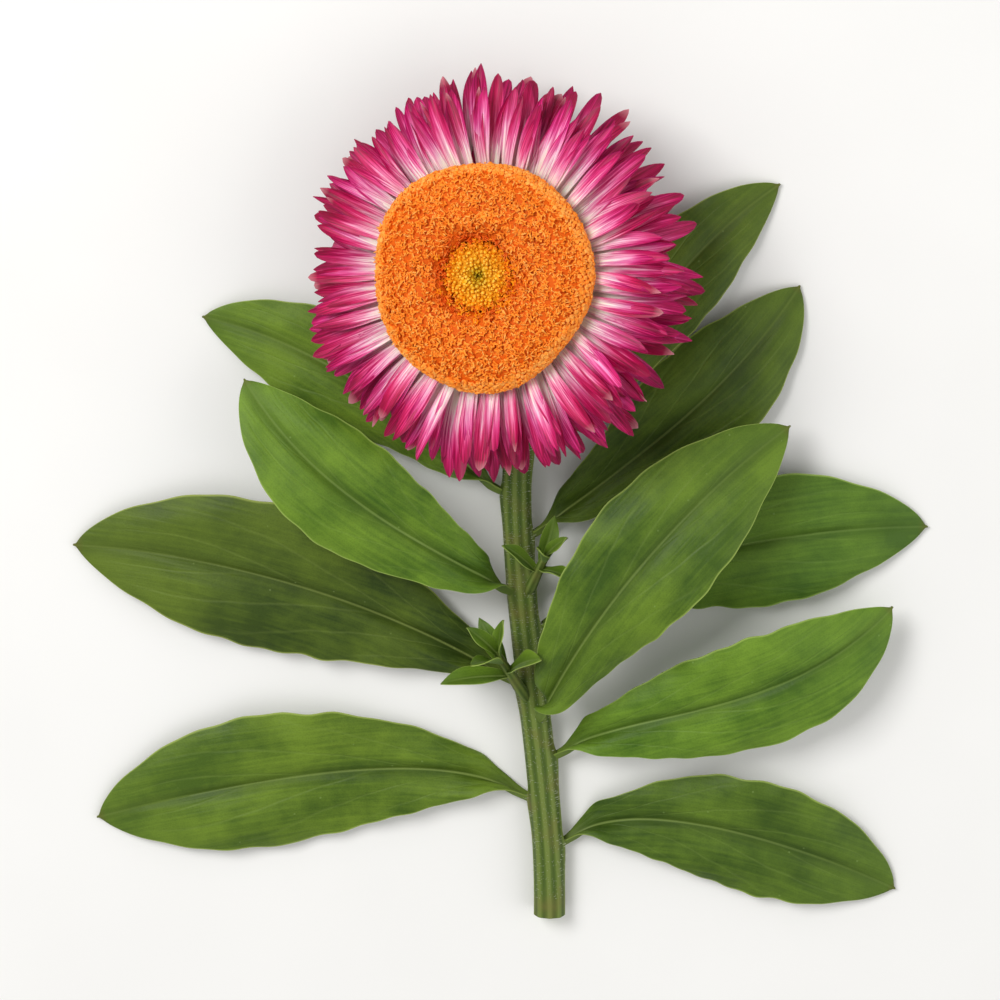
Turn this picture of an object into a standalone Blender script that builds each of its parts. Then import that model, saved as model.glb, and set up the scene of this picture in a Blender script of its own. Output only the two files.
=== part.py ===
"""A strawflower: one open flower head on its leafy stem, cut from the plant and laid down.

The stem lies along Y with its cut end towards -Y. The head is at +Y, and looks up and a little to
the left and away from the stem. Lengths are in metres, +Z is up, and the surface that it lies on is Z = 0.
"""

import math
import random

import bmesh
import bpy
from mathutils import Matrix, Vector, geometry

MM = 0.001
SEED = 11
GOLDEN_ANGLE = math.pi * (3.0 - math.sqrt(5.0))
GAP = 0.3 * MM  # between two pieces that touch on the plant

# The head's own axis passes through the middle of the receptacle's top, at height 0.
HEAD_CENTRE = Vector((-2.0, 51.5, 28.3)) * MM
HEAD_LEAN_LEFT = math.radians(18.0)
HEAD_LEAN_FORWARD = math.radians(14.0)

# The receptacle that the bracts grow on, as (radius, height) down its outside, in two storeys.
UPPER_RECEPTACLE = [(17.2, 0.0), (17.0, -2.4), (16.5, -5.0)]
LOWER_RECEPTACLE = [(16.2, -5.3), (15.0, -7.8), (12.2, -10.2), (8.4, -12.2), (4.2, -13.4)]

# Each pair is the value on a whorl's first bract and on its last, from the disc towards the stem.
INNER_BRACTS = dict(
    count=150, wall=(0.10, 0.90), rise=(26.0, -8.0), droop=(4.0, -34.0),
    length=(18.5, 23.5), width=(3.2, 4.2),
)
OUTER_BRACTS = dict(
    count=96, wall=(0.06, 0.90), rise=(-14.0, -34.0), droop=(-40.0, -58.0),
    length=(23.0, 6.5), width=(4.2, 3.4),
)
BRACT_SINK = 2.0 * MM  # how deep a bract's root runs into the receptacle
BRACT_ROOT_WIDTH = 1.7 * MM

BLADE_THICKNESS = 0.6 * MM
BLADE_BELLY = 0.55  # where along its length a small blade is widest, and bends back
BLADE_CUP = 0.20  # how far its edges stand above its middle, as a share of half its width

# The pad of open florets and the button of young ones in its middle, as (radius, height).
PAD_OUTLINE = [
    (7.4, 8.1), (9.2, 9.3), (12.8, 9.8), (17.0, 9.1), (20.0, 7.4), (21.6, 5.0), (21.3, 3.1), (19.4, 1.9)
]
PAD_FOOT = [(16.7, 0.4)]
PAD_PIT = [(6.8, 6.4), (6.5, 3.0)]
PAD_FLORETS = 400
PAD_RIM_STEPS = 60
PAD_WOBBLE = 0.022  # how far the pad's rim strays from a circle, as a share of its radius
BUTTON_OUTLINE = [(0.0, 6.9), (1.2, 7.3), (3.0, 7.7), (4.8, 7.1), (5.9, 5.8)]
BUTTON_FOOT = [(6.1, 3.3)]
BUTTON_FLORETS = 46
BUTTON_RIM_STEPS = 20
FLORET_RELIEF = 0.55 * MM  # how far a floret stands out
FLORET_HOLLOW = 0.33 * MM  # how deep it is between three florets

# The stem, from its cut end to a knee under the head, and from there up to the receptacle.
STEM_CUT = Vector((10.0, -88.0, 2.9)) * MM
STEM_CUT_HANDLE = Vector((10.5, -56.0, 2.9)) * MM
STEM_KNEE_NEAR_HANDLE = Vector((2.0, -22.0, 4.0)) * MM
STEM_KNEE = Vector((3.5, 10.0, 4.6)) * MM
STEM_KNEE_FAR_HANDLE = Vector((4.2, 33.0, 4.2)) * MM
NECK_HANDLE = 13.0 * MM
STEM_POINTS = 14  # in each of the two stretches
STEM_SIDES = 12
STEM_RIB = 0.05  # how far the ribs stand out, as a share of the radius
STEM_RADII = [(0.0, 3.1), (0.7, 2.8), (0.93, 2.6), (1.0, 3.6)]  # (share of the length, millimetres)

LEAF_THICKNESS = 0.7 * MM
LEAF_RIB_DEPTH = 0.5 * MM
LEAF_BASE_HALF_WIDTH = 2.4 * MM
LEAF_STATIONS = [0.0, 0.07, 0.17, 0.29, 0.42, 0.55, 0.68, 0.80, 0.92, 1.0]
LEAF_EDGES = (-1.0, -0.5, 0.0, 0.5, 1.0)  # across a leaf, as shares of half its width
LEAF_WIDEST = 1.7  # moves the widest place towards the tip: 1 is the middle, 1.7 is two thirds
LEAF_FULLNESS = 0.85  # under 1 makes the outline rounder, over 1 more pointed
LEAF_LAUNCH = 0.22  # how far a leaf keeps the direction it leaves the stem in, as a share of its length
LEAF_FORWARD = 0.9  # how much of that direction is the stem's own
LEAF_LEVEL = 0.3  # where a leaf has turned its upper face to the sky
LEAF_FOLD = (34.0, 7.0)  # how far each half is folded up at the base, and past the fold's end
LEAF_FOLD_END = 0.4
LEAF_EDGE_SAG = 0.12  # how far the edges curl down again, as a share of half the width
LEAF_WAVES = 1.7  # waves along each edge
# along: millimetres from the cut end. turn: degrees round the stem, 0 on top and 90 on the right.
# heading: degrees from +Y, positive to the right. bend: degrees that the leaf curves sideways.
# arch and tip: heights that the middle and the end are drawn to. roll: degrees of twist at the end.
LEAVES = [
    dict(along=15, turn=100, heading=92, bend=14, length=67, width=24, arch=8, tip=0.4, wave=1.1, roll=0),
    dict(along=25, turn=-100, heading=-88, bend=-10, length=86, width=28, arch=8, tip=0.4, wave=1.3, roll=0),
    dict(along=34, turn=72, heading=70, bend=-12, length=73, width=24, arch=19, tip=7, wave=1.2, roll=10),
    dict(along=43, turn=15, heading=30, bend=16, length=78, width=25, arch=30, tip=10, wave=1.2, roll=-12),
    dict(along=50, turn=-95, heading=-66, bend=-12, length=91, width=30, arch=10, tip=0.4, wave=1.3, roll=0),
    dict(along=61, turn=95, heading=69, bend=12, length=78, width=26, arch=9, tip=0.4, wave=1.1, roll=0),
    dict(along=70, turn=-40, heading=-54, bend=10, length=68, width=22, arch=24, tip=11, wave=1.0, roll=14),
    dict(along=81, turn=85, heading=50, bend=-8, length=71, width=22, arch=8, tip=0.4, wave=1.0, roll=0),
    dict(along=90, turn=-85, heading=-52, bend=-14, length=67, width=20, arch=7, tip=0.4, wave=0.9, roll=0),
    dict(along=99, turn=80, heading=37, bend=10, length=70, width=18, arch=7, tip=0.4, wave=0.8, roll=0),
    dict(along=109, turn=30, heading=16, bend=0, length=26, width=7, arch=9, tip=10, wave=0.3, roll=0),
    dict(along=114, turn=-80, heading=-58, bend=0, length=30, width=8, arch=5, tip=0.4, wave=0.3, roll=0),
]

# Young leafy shoots that grow where a leaf joins the stem.
SHOOTS = [
    dict(along=50, turn=-28, lean=36, length=13, blades=6, blade=14),
    dict(along=72, turn=30, lean=40, length=9, blades=5, blade=11),
]
SHOOT_STALK_RADII = (1.2 * MM, 0.8 * MM)
SHOOT_STALK_SIDES = 8
SHOOT_STRETCH = (0.25, 0.95)  # where on the stalk the first blade and the last one grow
SHOOT_RISE = (62.0, 12.0)  # degrees from the stalk at the root of the first blade and of the last
SHOOT_DROOP = (80.0, 24.0)  # and past their bellies
SHOOT_LAST_BLADE = 0.8  # the last blade's length, as a share of the first one's
SHOOT_BLADE_SHAPE = 0.16  # half a blade's width, as a share of its length

MATERIALS = {
    "stem_green": ((0.24, 0.33, 0.09, 1.0), 0.55),
    "leaf_green": ((0.10, 0.20, 0.04, 1.0), 0.50),
    "shoot_green": ((0.22, 0.36, 0.07, 1.0), 0.50),
    "inner_bract_pink": ((0.78, 0.20, 0.42, 1.0), 0.45),
    "outer_bract_magenta": ((0.55, 0.05, 0.22, 1.0), 0.45),
    "floret_orange": ((0.95, 0.27, 0.02, 1.0), 0.75),
    "young_floret_yellow": ((0.78, 0.50, 0.08, 1.0), 0.75),
}


def clear_scene():
    for obj in list(bpy.data.objects):
        bpy.data.objects.remove(obj)


def blend(start, end, share):
    return start + (end - start) * share


def along_line(points, share):
    """The point at this share of a polyline's length."""
    lengths = [(b - a).length for a, b in zip(points, points[1:])]
    left = share * sum(lengths)
    for a, b, length in zip(points, points[1:], lengths):
        if left <= length:
            return a.lerp(b, left / length)
        left -= length
    return points[-1].copy()


def new_object(name, bm, material, parent=None):
    """An object from a bmesh, with one material. The mesh is freed."""
    bmesh.ops.recalc_face_normals(bm, faces=bm.faces)
    mesh = bpy.data.meshes.new(name)
    bm.to_mesh(mesh)
    bm.free()
    obj = bpy.data.objects.new(name, mesh)
    bpy.context.scene.collection.objects.link(obj)
    obj.data.materials.append(material)
    obj.parent = parent
    return obj


def shade(obj, degrees):
    obj.data.shade_smooth()
    obj.data.set_sharp_from_angle(angle=math.radians(degrees))


def make_material(name, colour, roughness):
    material = bpy.data.materials.new(name)
    material.use_nodes = True
    shader = material.node_tree.nodes["Principled BSDF"]
    shader.inputs["Base Color"].default_value = colour
    shader.inputs["Roughness"].default_value = roughness
    shader.inputs["Metallic"].default_value = 0.0
    material.diffuse_color = colour
    return material


def fuse(core, pieces):
    """Joins the pieces to the core with one Boolean union, applies it and removes the pieces."""
    gathered = bpy.data.collections.new(core.name + "_pieces")
    bpy.context.scene.collection.children.link(gathered)
    for piece in pieces:
        bpy.context.scene.collection.objects.unlink(piece)
        gathered.objects.link(piece)
    union = core.modifiers.new("Union", "BOOLEAN")
    union.operation = "UNION"
    union.operand_type = "COLLECTION"
    union.collection = gathered
    union.solver = "MANIFOLD"  # EXACT takes minutes on so many crossing blades
    bpy.context.view_layer.update()
    graph = bpy.context.evaluated_depsgraph_get()
    joined = bpy.data.meshes.new_from_object(core.evaluated_get(graph))
    core.modifiers.clear()
    core.data = joined
    for piece in pieces:
        bpy.data.objects.remove(piece)
    bpy.data.collections.remove(gathered)


def add_blade(bm, stations):
    """Adds a closed thin blade to a bmesh.

    Each station is a row of (upper point, lower point) pairs from the left edge to the right one, and
    the last is a single pair, the tip. Upper and lower faces are split into triangles alike.
    """
    rows = [[(bm.verts.new(up), bm.verts.new(low)) for up, low in station] for station in stations]
    for near, far in zip(rows, rows[1:]):
        pointed = len(far) == 1
        for i in range(len(near) - 1):
            far_left, far_right = (far[0], far[0]) if pointed else (far[i], far[i + 1])
            near_left, near_right = near[i], near[i + 1]
            bm.faces.new((near_left[0], near_right[0], far_right[0]))
            bm.faces.new((near_left[1], far_right[1], near_right[1]))
            if not pointed:
                bm.faces.new((near_left[0], far_right[0], far_left[0]))
                bm.faces.new((near_left[1], far_left[1], far_right[1]))
        bm.faces.new((near[0][0], far[0][0], far[0][1], near[0][1]))
        bm.faces.new((near[-1][1], far[-1][1], far[-1][0], near[-1][0]))
    for left, right in zip(rows[0], rows[0][1:]):
        bm.faces.new((left[0], left[1], right[1], right[0]))


def lathe(profile, steps):
    """A bmesh turned about Z from (radius, height) points in millimetres. The ends lie on the axis."""
    bm = bmesh.new()
    verts = [bm.verts.new((radius * MM, 0.0, height * MM)) for radius, height in profile]
    edges = [bm.edges.new(pair) for pair in zip(verts, verts[1:])]
    bmesh.ops.spin(
        bm, geom=verts + edges, axis=(0, 0, 1), cent=(0, 0, 0), angle=math.tau, steps=steps, use_merge=True
    )
    bmesh.ops.remove_doubles(bm, verts=bm.verts, dist=1e-6)
    return bm


def head_frame():
    """The matrix from the head's own frame, with its axis along Z, to where the head lies."""
    lean = Matrix.Rotation(-HEAD_LEAN_FORWARD, 4, "X") @ Matrix.Rotation(-HEAD_LEAN_LEFT, 4, "Y")
    return Matrix.Translation(HEAD_CENTRE) @ lean


def short_blade(start, rising, drooping, side, length, half_width, sink, root_half_width, pair):
    """The stations of a small pointed blade: its root, its belly where it bends and is widest, and its tip.

    The root starts a sink behind the start point. The function pair gives the upper and lower point
    of the blade from its middle point and its normal.
    """
    belly = start + rising * (length * BLADE_BELLY)
    tip = belly + drooping * (length * (1.0 - BLADE_BELLY))
    rows = []
    for middle, direction, half in (
        (start - rising * sink, rising, root_half_width),
        (belly, (rising + drooping).normalized(), half_width),
        (tip, drooping, 0.0),
    ):
        across = (side - direction * side.dot(direction)).normalized()
        normal = across.cross(direction)
        edges = (0.0,) if half == 0.0 else (-1.0, 0.0, 1.0)
        row = []
        for edge in edges:
            centre = middle + across * (half * edge) + normal * (half * BLADE_CUP * abs(edge))
            row.append(pair(centre, normal))
        rows.append(row)
    return rows


def bract_stations(whorl, wall, number, chance, to_world):
    """The stations of one bract, in the head's frame.

    Bracts follow each other at the golden angle, from the disc towards the stem. Each leaves the
    receptacle at its rise angle and bends to its droop angle at its belly.
    """
    share = number / (whorl["count"] - 1)
    around = number * GOLDEN_ANGLE + math.radians(chance.uniform(-1.2, 1.2))
    rise = math.radians(blend(*whorl["rise"], share) + chance.uniform(-2.0, 2.0))
    droop = math.radians(blend(*whorl["droop"], share) + chance.uniform(-5.0, 5.0))
    length = blend(*whorl["length"], share) * chance.uniform(0.94, 1.05) * MM
    half_width = blend(*whorl["width"], share) * chance.uniform(0.92, 1.06) * MM / 2
    roll = math.radians(chance.uniform(-7.0, 7.0))
    seat = along_line(wall, blend(*whorl["wall"], share))
    out = Vector((math.cos(around), math.sin(around), 0.0))
    side = Vector((math.sin(around), -math.cos(around), 0.0))
    up = Vector((0.0, 0.0, 1.0))
    rising = out * math.cos(rise) + up * math.sin(rise)
    drooping = out * math.cos(droop) + up * math.sin(droop)
    rolled = Matrix.Rotation(roll, 3, rising) @ side
    half_thickness = BLADE_THICKNESS / 2

    def pair(centre, normal):
        return resting_pair(centre, normal * half_thickness, to_world)

    start = out * seat.x + up * seat.y
    return short_blade(
        start, rising, drooping, rolled, length, half_width, BRACT_SINK, BRACT_ROOT_WIDTH / 2, pair
    )


def resting_pair(centre, half_thickness, to_world):
    """The upper and lower point of a blade there. What would pass through the surface is bent up."""
    pair = [to_world @ (centre + half_thickness), to_world @ (centre - half_thickness)]
    lowest = min(point.z for point in pair)
    if lowest < 0.0:
        for point in pair:
            point.z -= lowest
    to_local = to_world.inverted()
    return [to_local @ point for point in pair]


def make_bracts(name, storey, whorl, material, parent, chance):
    """One storey of the receptacle, with its bracts grown from its wall."""
    profile = [(0.0, storey[0][1]), *storey, (0.0, storey[-1][1])]
    receptacle = new_object(name, lathe(profile, 32), material)
    wall = [Vector((radius, height)) * MM for radius, height in storey]
    pieces = []
    for number in range(whorl["count"]):
        bm = bmesh.new()
        add_blade(bm, bract_stations(whorl, wall, number, chance, parent.matrix_world))
        pieces.append(new_object(f"{name}_{number}", bm, material))
    fuse(receptacle, pieces)
    shade(receptacle, 30)
    receptacle.parent = parent


def relief_points(outline, count, ring):
    """Points of the floret relief, flattened, as (point, lift). Its radius is the way along the outline.

    Florets sit on a Fermat spiral between the outline's first point and its last.
    """
    first = outline[0].x
    span = sum((b - a).length for a, b in zip(outline, outline[1:]))
    last = first + span
    points = []
    for i in range(ring):
        angle = math.tau * i / ring
        points.append((Vector((math.cos(angle), math.sin(angle))) * last, 0.0))
        if first > 0.0 and i % 2 == 0:
            points.append((Vector((math.cos(angle), math.sin(angle))) * first, 0.0))
    for i in range(count):
        inner, outer = first + 2.0 * FLORET_RELIEF, last - 2.0 * FLORET_RELIEF
        radius = math.sqrt(blend(inner**2, outer**2, (i + 0.5) / count))
        angle = i * GOLDEN_ANGLE
        points.append((Vector((math.cos(angle), math.sin(angle))) * radius, FLORET_RELIEF))
    return points, first, span


def make_florets(name, outline, foot, pit, count, ring, wobble, material, parent):
    """A pad of florets: a turned body whose top is raised to a peak at each floret and sunk between them.

    The wobble pushes the rim in and out of round by two slow waves, and leaves the middle round.
    """
    outline = [Vector((radius, height)) * MM for radius, height in outline]
    points, first, span = relief_points(outline, count, ring)

    def placed(flat, lift):
        share = min(max((flat.length - first) / span, 0.0), 1.0)
        here = along_line(outline, share)
        before = along_line(outline, max(share - 0.02, 0.0))
        after = along_line(outline, min(share + 0.02, 1.0))
        tangent = (after - before).normalized()
        here = here + Vector((-tangent.y, tangent.x)) * lift
        direction = flat.normalized() if flat.length > 1e-9 else Vector((1.0, 0.0))
        return Vector((direction.x * here.x, direction.y * here.x, here.y))

    flat_points = [point for point, lift in points]
    faces = geometry.delaunay_2d_cdt(flat_points, [], [], 0, 1e-7)[2]
    bm = bmesh.new()
    verts = [bm.verts.new(placed(point, lift)) for point, lift in points]
    for face in faces:
        centroid = sum((flat_points[i] for i in face), Vector((0.0, 0.0))) / 3.0
        if centroid.length < first:
            continue
        hollow = bm.verts.new(placed(centroid, -FLORET_HOLLOW))
        for i, j in ((0, 1), (1, 2), (2, 0)):
            bm.faces.new((verts[face[i]], verts[face[j]], hollow))
    close_turned_end(bm, [Vector((radius, height)) * MM for radius, height in foot], outline[-1].x)
    if pit:
        close_turned_end(bm, [Vector((radius, height)) * MM for radius, height in pit], outline[0].x)
    rim = max(point.x for point in outline)
    for vert in bm.verts:
        angle = math.atan2(vert.co.y, vert.co.x)
        wave = math.sin(3 * angle + 0.6) + 0.6 * math.sin(5 * angle + 2.0)
        vert.co.xy *= 1.0 + wobble * wave * max(2.0 * vert.co.xy.length / rim - 1.0, 0.0)
    shade(new_object(name, bm, material, parent), 60)


def close_turned_end(bm, profile, rim_radius):
    """Carries an open round rim on through the profile's rings, and closes it flat at the last one."""
    rim = [edge for edge in bm.edges if edge.is_boundary]
    rim = [edge for edge in rim if all(abs(v.co.xy.length - rim_radius) < 0.05 * MM for v in edge.verts)]
    for level in profile:
        grown = bmesh.ops.extrude_edge_only(bm, edges=rim)["geom"]
        rim = [item for item in grown if isinstance(item, bmesh.types.BMEdge)]
        for vert in {vert for edge in rim for vert in edge.verts}:
            vert.co.xy = vert.co.xy.normalized() * level.x
            vert.co.z = level.y
        rim = [edge for edge in rim if edge.is_boundary]
    bmesh.ops.contextual_create(bm, geom=rim)


def stem_line():
    """Points down the middle of the stem, from the cut end to the receptacle, and the head's axis."""
    axis = head_frame().to_3x3() @ Vector((0.0, 0.0, 1.0))
    top = HEAD_CENTRE + axis * (LOWER_RECEPTACLE[-1][1] * MM - GAP)
    lower = geometry.interpolate_bezier(
        STEM_CUT, STEM_CUT_HANDLE, STEM_KNEE_NEAR_HANDLE, STEM_KNEE, STEM_POINTS
    )
    upper = geometry.interpolate_bezier(
        STEM_KNEE, STEM_KNEE_FAR_HANDLE, top - axis * NECK_HANDLE, top, STEM_POINTS
    )
    return lower + upper[1:], axis


def stem_radius(share):
    for (start, near), (end, far) in zip(STEM_RADII, STEM_RADII[1:]):
        if share <= end:
            return blend(near, far, (share - start) / (end - start)) * MM
    return STEM_RADII[-1][1] * MM


def make_stem(line, axis, material):
    """The ribbed stem, flat underneath where it lies down, and square to the head's axis at its top."""
    bm = bmesh.new()
    total = sum((b - a).length for a, b in zip(line, line[1:]))
    side = Vector((1.0, 0.0, 0.0))
    done = 0.0
    rings = []
    for i, point in enumerate(line):
        if i:
            done += (point - line[i - 1]).length
        last = i == len(line) - 1
        direction = axis if last else (line[i + 1] - line[max(i - 1, 0)]).normalized()
        side = (side - direction * side.dot(direction)).normalized()
        lift = side.cross(direction)
        ring = []
        for k in range(STEM_SIDES):
            angle = math.tau * (k + 0.5) / STEM_SIDES
            rib = 1.0 + STEM_RIB * (-1 if (k // 2) % 2 else 1)
            radius = stem_radius(done / total) * rib
            corner = point + side * (radius * math.cos(angle)) + lift * (radius * math.sin(angle))
            corner.z = max(corner.z, 0.0)
            ring.append(bm.verts.new(corner))
        rings.append(ring)
    for near, far in zip(rings, rings[1:]):
        for k in range(STEM_SIDES):
            m = (k + 1) % STEM_SIDES
            bm.faces.new((near[k], near[m], far[m], far[k]))
    bm.faces.new(rings[0])
    bm.faces.new(rings[-1])
    stem = new_object("stem", bm, material)
    shade(stem, 40)
    return stem


def place_on_stem(line, along, turn):
    """The stem's direction, the way out of it and a point on its side, measured from its cut end."""
    share = along * MM / sum((b - a).length for a, b in zip(line, line[1:]))
    axis = (along_line(line, share + 0.02) - along_line(line, share - 0.02)).normalized()
    right = axis.cross(Vector((0.0, 0.0, 1.0))).normalized()
    lift = right.cross(axis)
    outward = right * math.sin(math.radians(turn)) + lift * math.cos(math.radians(turn))
    return axis, outward, along_line(line, share) + outward * (stem_radius(share) * (1.0 + STEM_RIB))


def leaf_half_width(leaf, u):
    """Half the width of a leaf at this share of its length: a narrow base, widest past the middle."""
    blade = leaf["width"] / 2 * MM * math.sin(math.pi * u**LEAF_WIDEST) ** LEAF_FULLNESS
    return blade + LEAF_BASE_HALF_WIDTH * (1.0 - u) ** 2


def leaf_handles(leaf, root, outward, axis):
    """The four Bezier points of a leaf's midrib, which curves sideways by its bend and arches over."""
    length = leaf["length"] * MM
    middle, end = (math.radians(leaf["heading"] + leaf["bend"] * share) for share in (-0.5, 0.5))
    handles = [
        root,
        root + (outward + axis * LEAF_FORWARD).normalized() * (length * LEAF_LAUNCH),
        root + Vector((math.sin(middle), math.cos(middle), 0.0)) * (length * 0.62),
        root + Vector((math.sin(end), math.cos(end), 0.0)) * length,
    ]
    handles[2].z = leaf["arch"] * MM
    handles[3].z = leaf["tip"] * MM
    return handles


def leaf_station(leaf, handles, axis, u):
    """One row of (upper point, lower point) pairs across a leaf, at this share of its length.

    The upper face looks along the stem at the base and turns to the sky. Each half is folded up from
    the midrib, most at the base, its edge sags and waves, and a rib runs along the underside.
    """
    a, b, c, d = handles
    v = 1.0 - u
    middle = a * v**3 + b * (3 * v * v * u) + c * (3 * v * u * u) + d * u**3
    direction = ((b - a) * (v * v) + (c - b) * (2 * v * u) + (d - c) * (u * u)).normalized()
    level = min(u / LEAF_LEVEL, 1.0)
    level = level * level * (3.0 - 2.0 * level)
    facing = axis * (1.0 - level) + Vector((0.0, 0.0, 1.0)) * level
    facing = Matrix.Rotation(math.radians(leaf["roll"] * u), 3, direction) @ facing
    normal = (facing - direction * facing.dot(direction)).normalized()
    across = direction.cross(normal)
    half = leaf_half_width(leaf, u)
    fold = math.tan(math.radians(blend(*LEAF_FOLD, min(u / LEAF_FOLD_END, 1.0))))
    row = []
    for edge in (0.0,) if u == LEAF_STATIONS[-1] else LEAF_EDGES:
        wave = math.sin(math.tau * LEAF_WAVES * u + 1.9 * edge + leaf["along"]) * math.sin(math.pi * u)
        rise = half * (abs(edge) * fold - edge * edge * LEAF_EDGE_SAG)
        rise += leaf["wave"] * MM * edge * edge * wave
        rib = LEAF_RIB_DEPTH * (1.0 - 0.7 * u) if edge == 0.0 else 0.0
        row.append(laid_pair(middle + across * (half * edge) + normal * rise, normal, rib))
    return row


def laid_pair(centre, normal, rib):
    """The upper and lower point of a leaf there, lifted onto the surface where it would pass through."""
    upper = centre + normal * (LEAF_THICKNESS / 2)
    lower = centre - normal * (LEAF_THICKNESS / 2 + rib)
    if lower.z < 0.0:
        lower.z = 0.0
        upper.z = max(upper.z, LEAF_THICKNESS + rib)
    return upper, lower


def make_leaf(name, leaf, line, material, parent):
    """One leaf, which grows from the stem's side with its base across it."""
    axis, outward, surface = place_on_stem(line, leaf["along"], leaf["turn"])
    root = surface + outward * (GAP + LEAF_THICKNESS / 2)
    handles = leaf_handles(leaf, root, outward, axis)
    bm = bmesh.new()
    add_blade(bm, [leaf_station(leaf, handles, axis, u) for u in LEAF_STATIONS])
    bmesh.ops.translate(bm, verts=bm.verts, vec=-root)
    made = new_object(name, bm, material, parent)
    made.location = root
    shade(made, 60)


def make_shoot(name, shoot, line, material, parent, chance):
    """A short tapered stalk that leans out from the stem, with small blades round it up to its end."""
    axis, outward, surface = place_on_stem(line, shoot["along"], shoot["turn"])
    lean = math.radians(shoot["lean"])
    growing = axis * math.cos(lean) + outward * math.sin(lean)
    root = surface + outward * (GAP + SHOOT_STALK_RADII[0])
    length = shoot["length"] * MM
    bm = bmesh.new()
    wide, narrow = SHOOT_STALK_RADII
    bmesh.ops.create_cone(
        bm, segments=SHOOT_STALK_SIDES, radius1=wide, radius2=narrow, depth=length, cap_ends=True
    )
    upright = growing.to_track_quat("Z", "Y").to_matrix().to_4x4()
    bmesh.ops.transform(bm, verts=bm.verts, matrix=upright @ Matrix.Translation((0.0, 0.0, length / 2)))
    stalk = new_object(name, bm, material)
    sideways = upright.to_3x3() @ Vector((1.0, 0.0, 0.0))

    def pair(centre, normal):
        return centre + normal * (BLADE_THICKNESS / 2), centre - normal * (BLADE_THICKNESS / 2)

    pieces = []
    for number in range(shoot["blades"]):
        share = (number + 1) / shoot["blades"]
        around = Matrix.Rotation(number * GOLDEN_ANGLE, 3, growing) @ sideways
        rise, droop = (math.radians(blend(*angles, share)) for angles in (SHOOT_RISE, SHOOT_DROOP))
        rising = growing * math.cos(rise) + around * math.sin(rise)
        drooping = growing * math.cos(droop) + around * math.sin(droop)
        start = growing * (length * blend(*SHOOT_STRETCH, share))
        blade = shoot["blade"] * blend(1.0, SHOOT_LAST_BLADE, share) * chance.uniform(0.9, 1.1) * MM
        half_width = blade * SHOOT_BLADE_SHAPE
        side = rising.cross(growing).normalized()
        bm = bmesh.new()
        root_half_width = narrow * 0.7
        add_blade(
            bm, short_blade(start, rising, drooping, side, blade, half_width, 0.0, root_half_width, pair)
        )
        pieces.append(new_object(f"{name}_{number}", bm, material))
    fuse(stalk, pieces)
    shade(stalk, 40)
    stalk.parent = parent
    stalk.location = root


def main():
    clear_scene()
    chance = random.Random(SEED)
    materials = {name: make_material(name, *values) for name, values in MATERIALS.items()}

    head = bpy.data.objects.new("head_axis", None)
    bpy.context.scene.collection.objects.link(head)
    head.matrix_world = head_frame()
    bpy.context.view_layer.update()

    for name, storey, whorl, colour in (
        ("inner_bracts", UPPER_RECEPTACLE, INNER_BRACTS, "inner_bract_pink"),
        ("outer_bracts", LOWER_RECEPTACLE, OUTER_BRACTS, "outer_bract_magenta"),
    ):
        make_bracts(name, storey, whorl, materials[colour], head, chance)
    make_florets(
        "disc_florets", PAD_OUTLINE, PAD_FOOT, PAD_PIT, PAD_FLORETS, PAD_RIM_STEPS, PAD_WOBBLE,
        materials["floret_orange"], head,
    )
    make_florets(
        "young_florets", BUTTON_OUTLINE, BUTTON_FOOT, [], BUTTON_FLORETS, BUTTON_RIM_STEPS, 0.0,
        materials["young_floret_yellow"], head,
    )

    line, axis = stem_line()
    stem = make_stem(line, axis, materials["stem_green"])
    for number, leaf in enumerate(LEAVES, start=1):
        make_leaf(f"leaf_{number:02d}", leaf, line, materials["leaf_green"], stem)
    for number, shoot in enumerate(SHOOTS, start=1):
        make_shoot(f"side_shoot_{number}", shoot, line, materials["shoot_green"], stem, chance)


main()
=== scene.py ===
"""The looks of a strawflower that was cut from its plant and laid down.

The stem lies along Y with its cut end towards -Y, the head is at +Y, and +Z is up. Shapes are worked
out in millimetres on grids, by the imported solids' own formulas, and add_piece turns them into metres.
"""

import math
import random

import bpy
import numpy as np
from mathutils import Matrix, Vector


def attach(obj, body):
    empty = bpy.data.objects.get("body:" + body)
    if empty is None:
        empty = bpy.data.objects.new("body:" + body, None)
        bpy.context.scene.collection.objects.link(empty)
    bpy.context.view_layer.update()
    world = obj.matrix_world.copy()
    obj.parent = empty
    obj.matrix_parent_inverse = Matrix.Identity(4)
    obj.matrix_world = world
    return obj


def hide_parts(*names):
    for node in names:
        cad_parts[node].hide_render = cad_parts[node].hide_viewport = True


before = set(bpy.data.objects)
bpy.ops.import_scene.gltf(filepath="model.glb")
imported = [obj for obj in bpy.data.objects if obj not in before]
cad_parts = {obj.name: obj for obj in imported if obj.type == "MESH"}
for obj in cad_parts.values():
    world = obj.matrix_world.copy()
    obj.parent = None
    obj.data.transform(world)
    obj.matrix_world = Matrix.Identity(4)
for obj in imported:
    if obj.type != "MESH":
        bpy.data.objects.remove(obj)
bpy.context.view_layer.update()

# The stem
# A green stem with fine lengthwise ridges, pressed slightly flat where it lies. It swells where each
# leaf grows, turns up into the head, and shows pale pith inside a green rind where it was cut.
MM = 0.001
HEAD_CENTRE = np.array([-2.0, 51.5, 28.3])
HEAD_LEAN_LEFT = math.radians(18)
HEAD_LEAN_FORWARD = math.radians(14)
HEAD_TURN = np.array(
    Matrix.Rotation(-HEAD_LEAN_FORWARD, 3, "X") @ Matrix.Rotation(-HEAD_LEAN_LEFT, 3, "Y")
)
HEAD_AXIS = HEAD_TURN[:, 2]
STEM_TOP = HEAD_CENTRE - HEAD_AXIS * 13.7
NECK_HANDLE = 13.0
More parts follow.
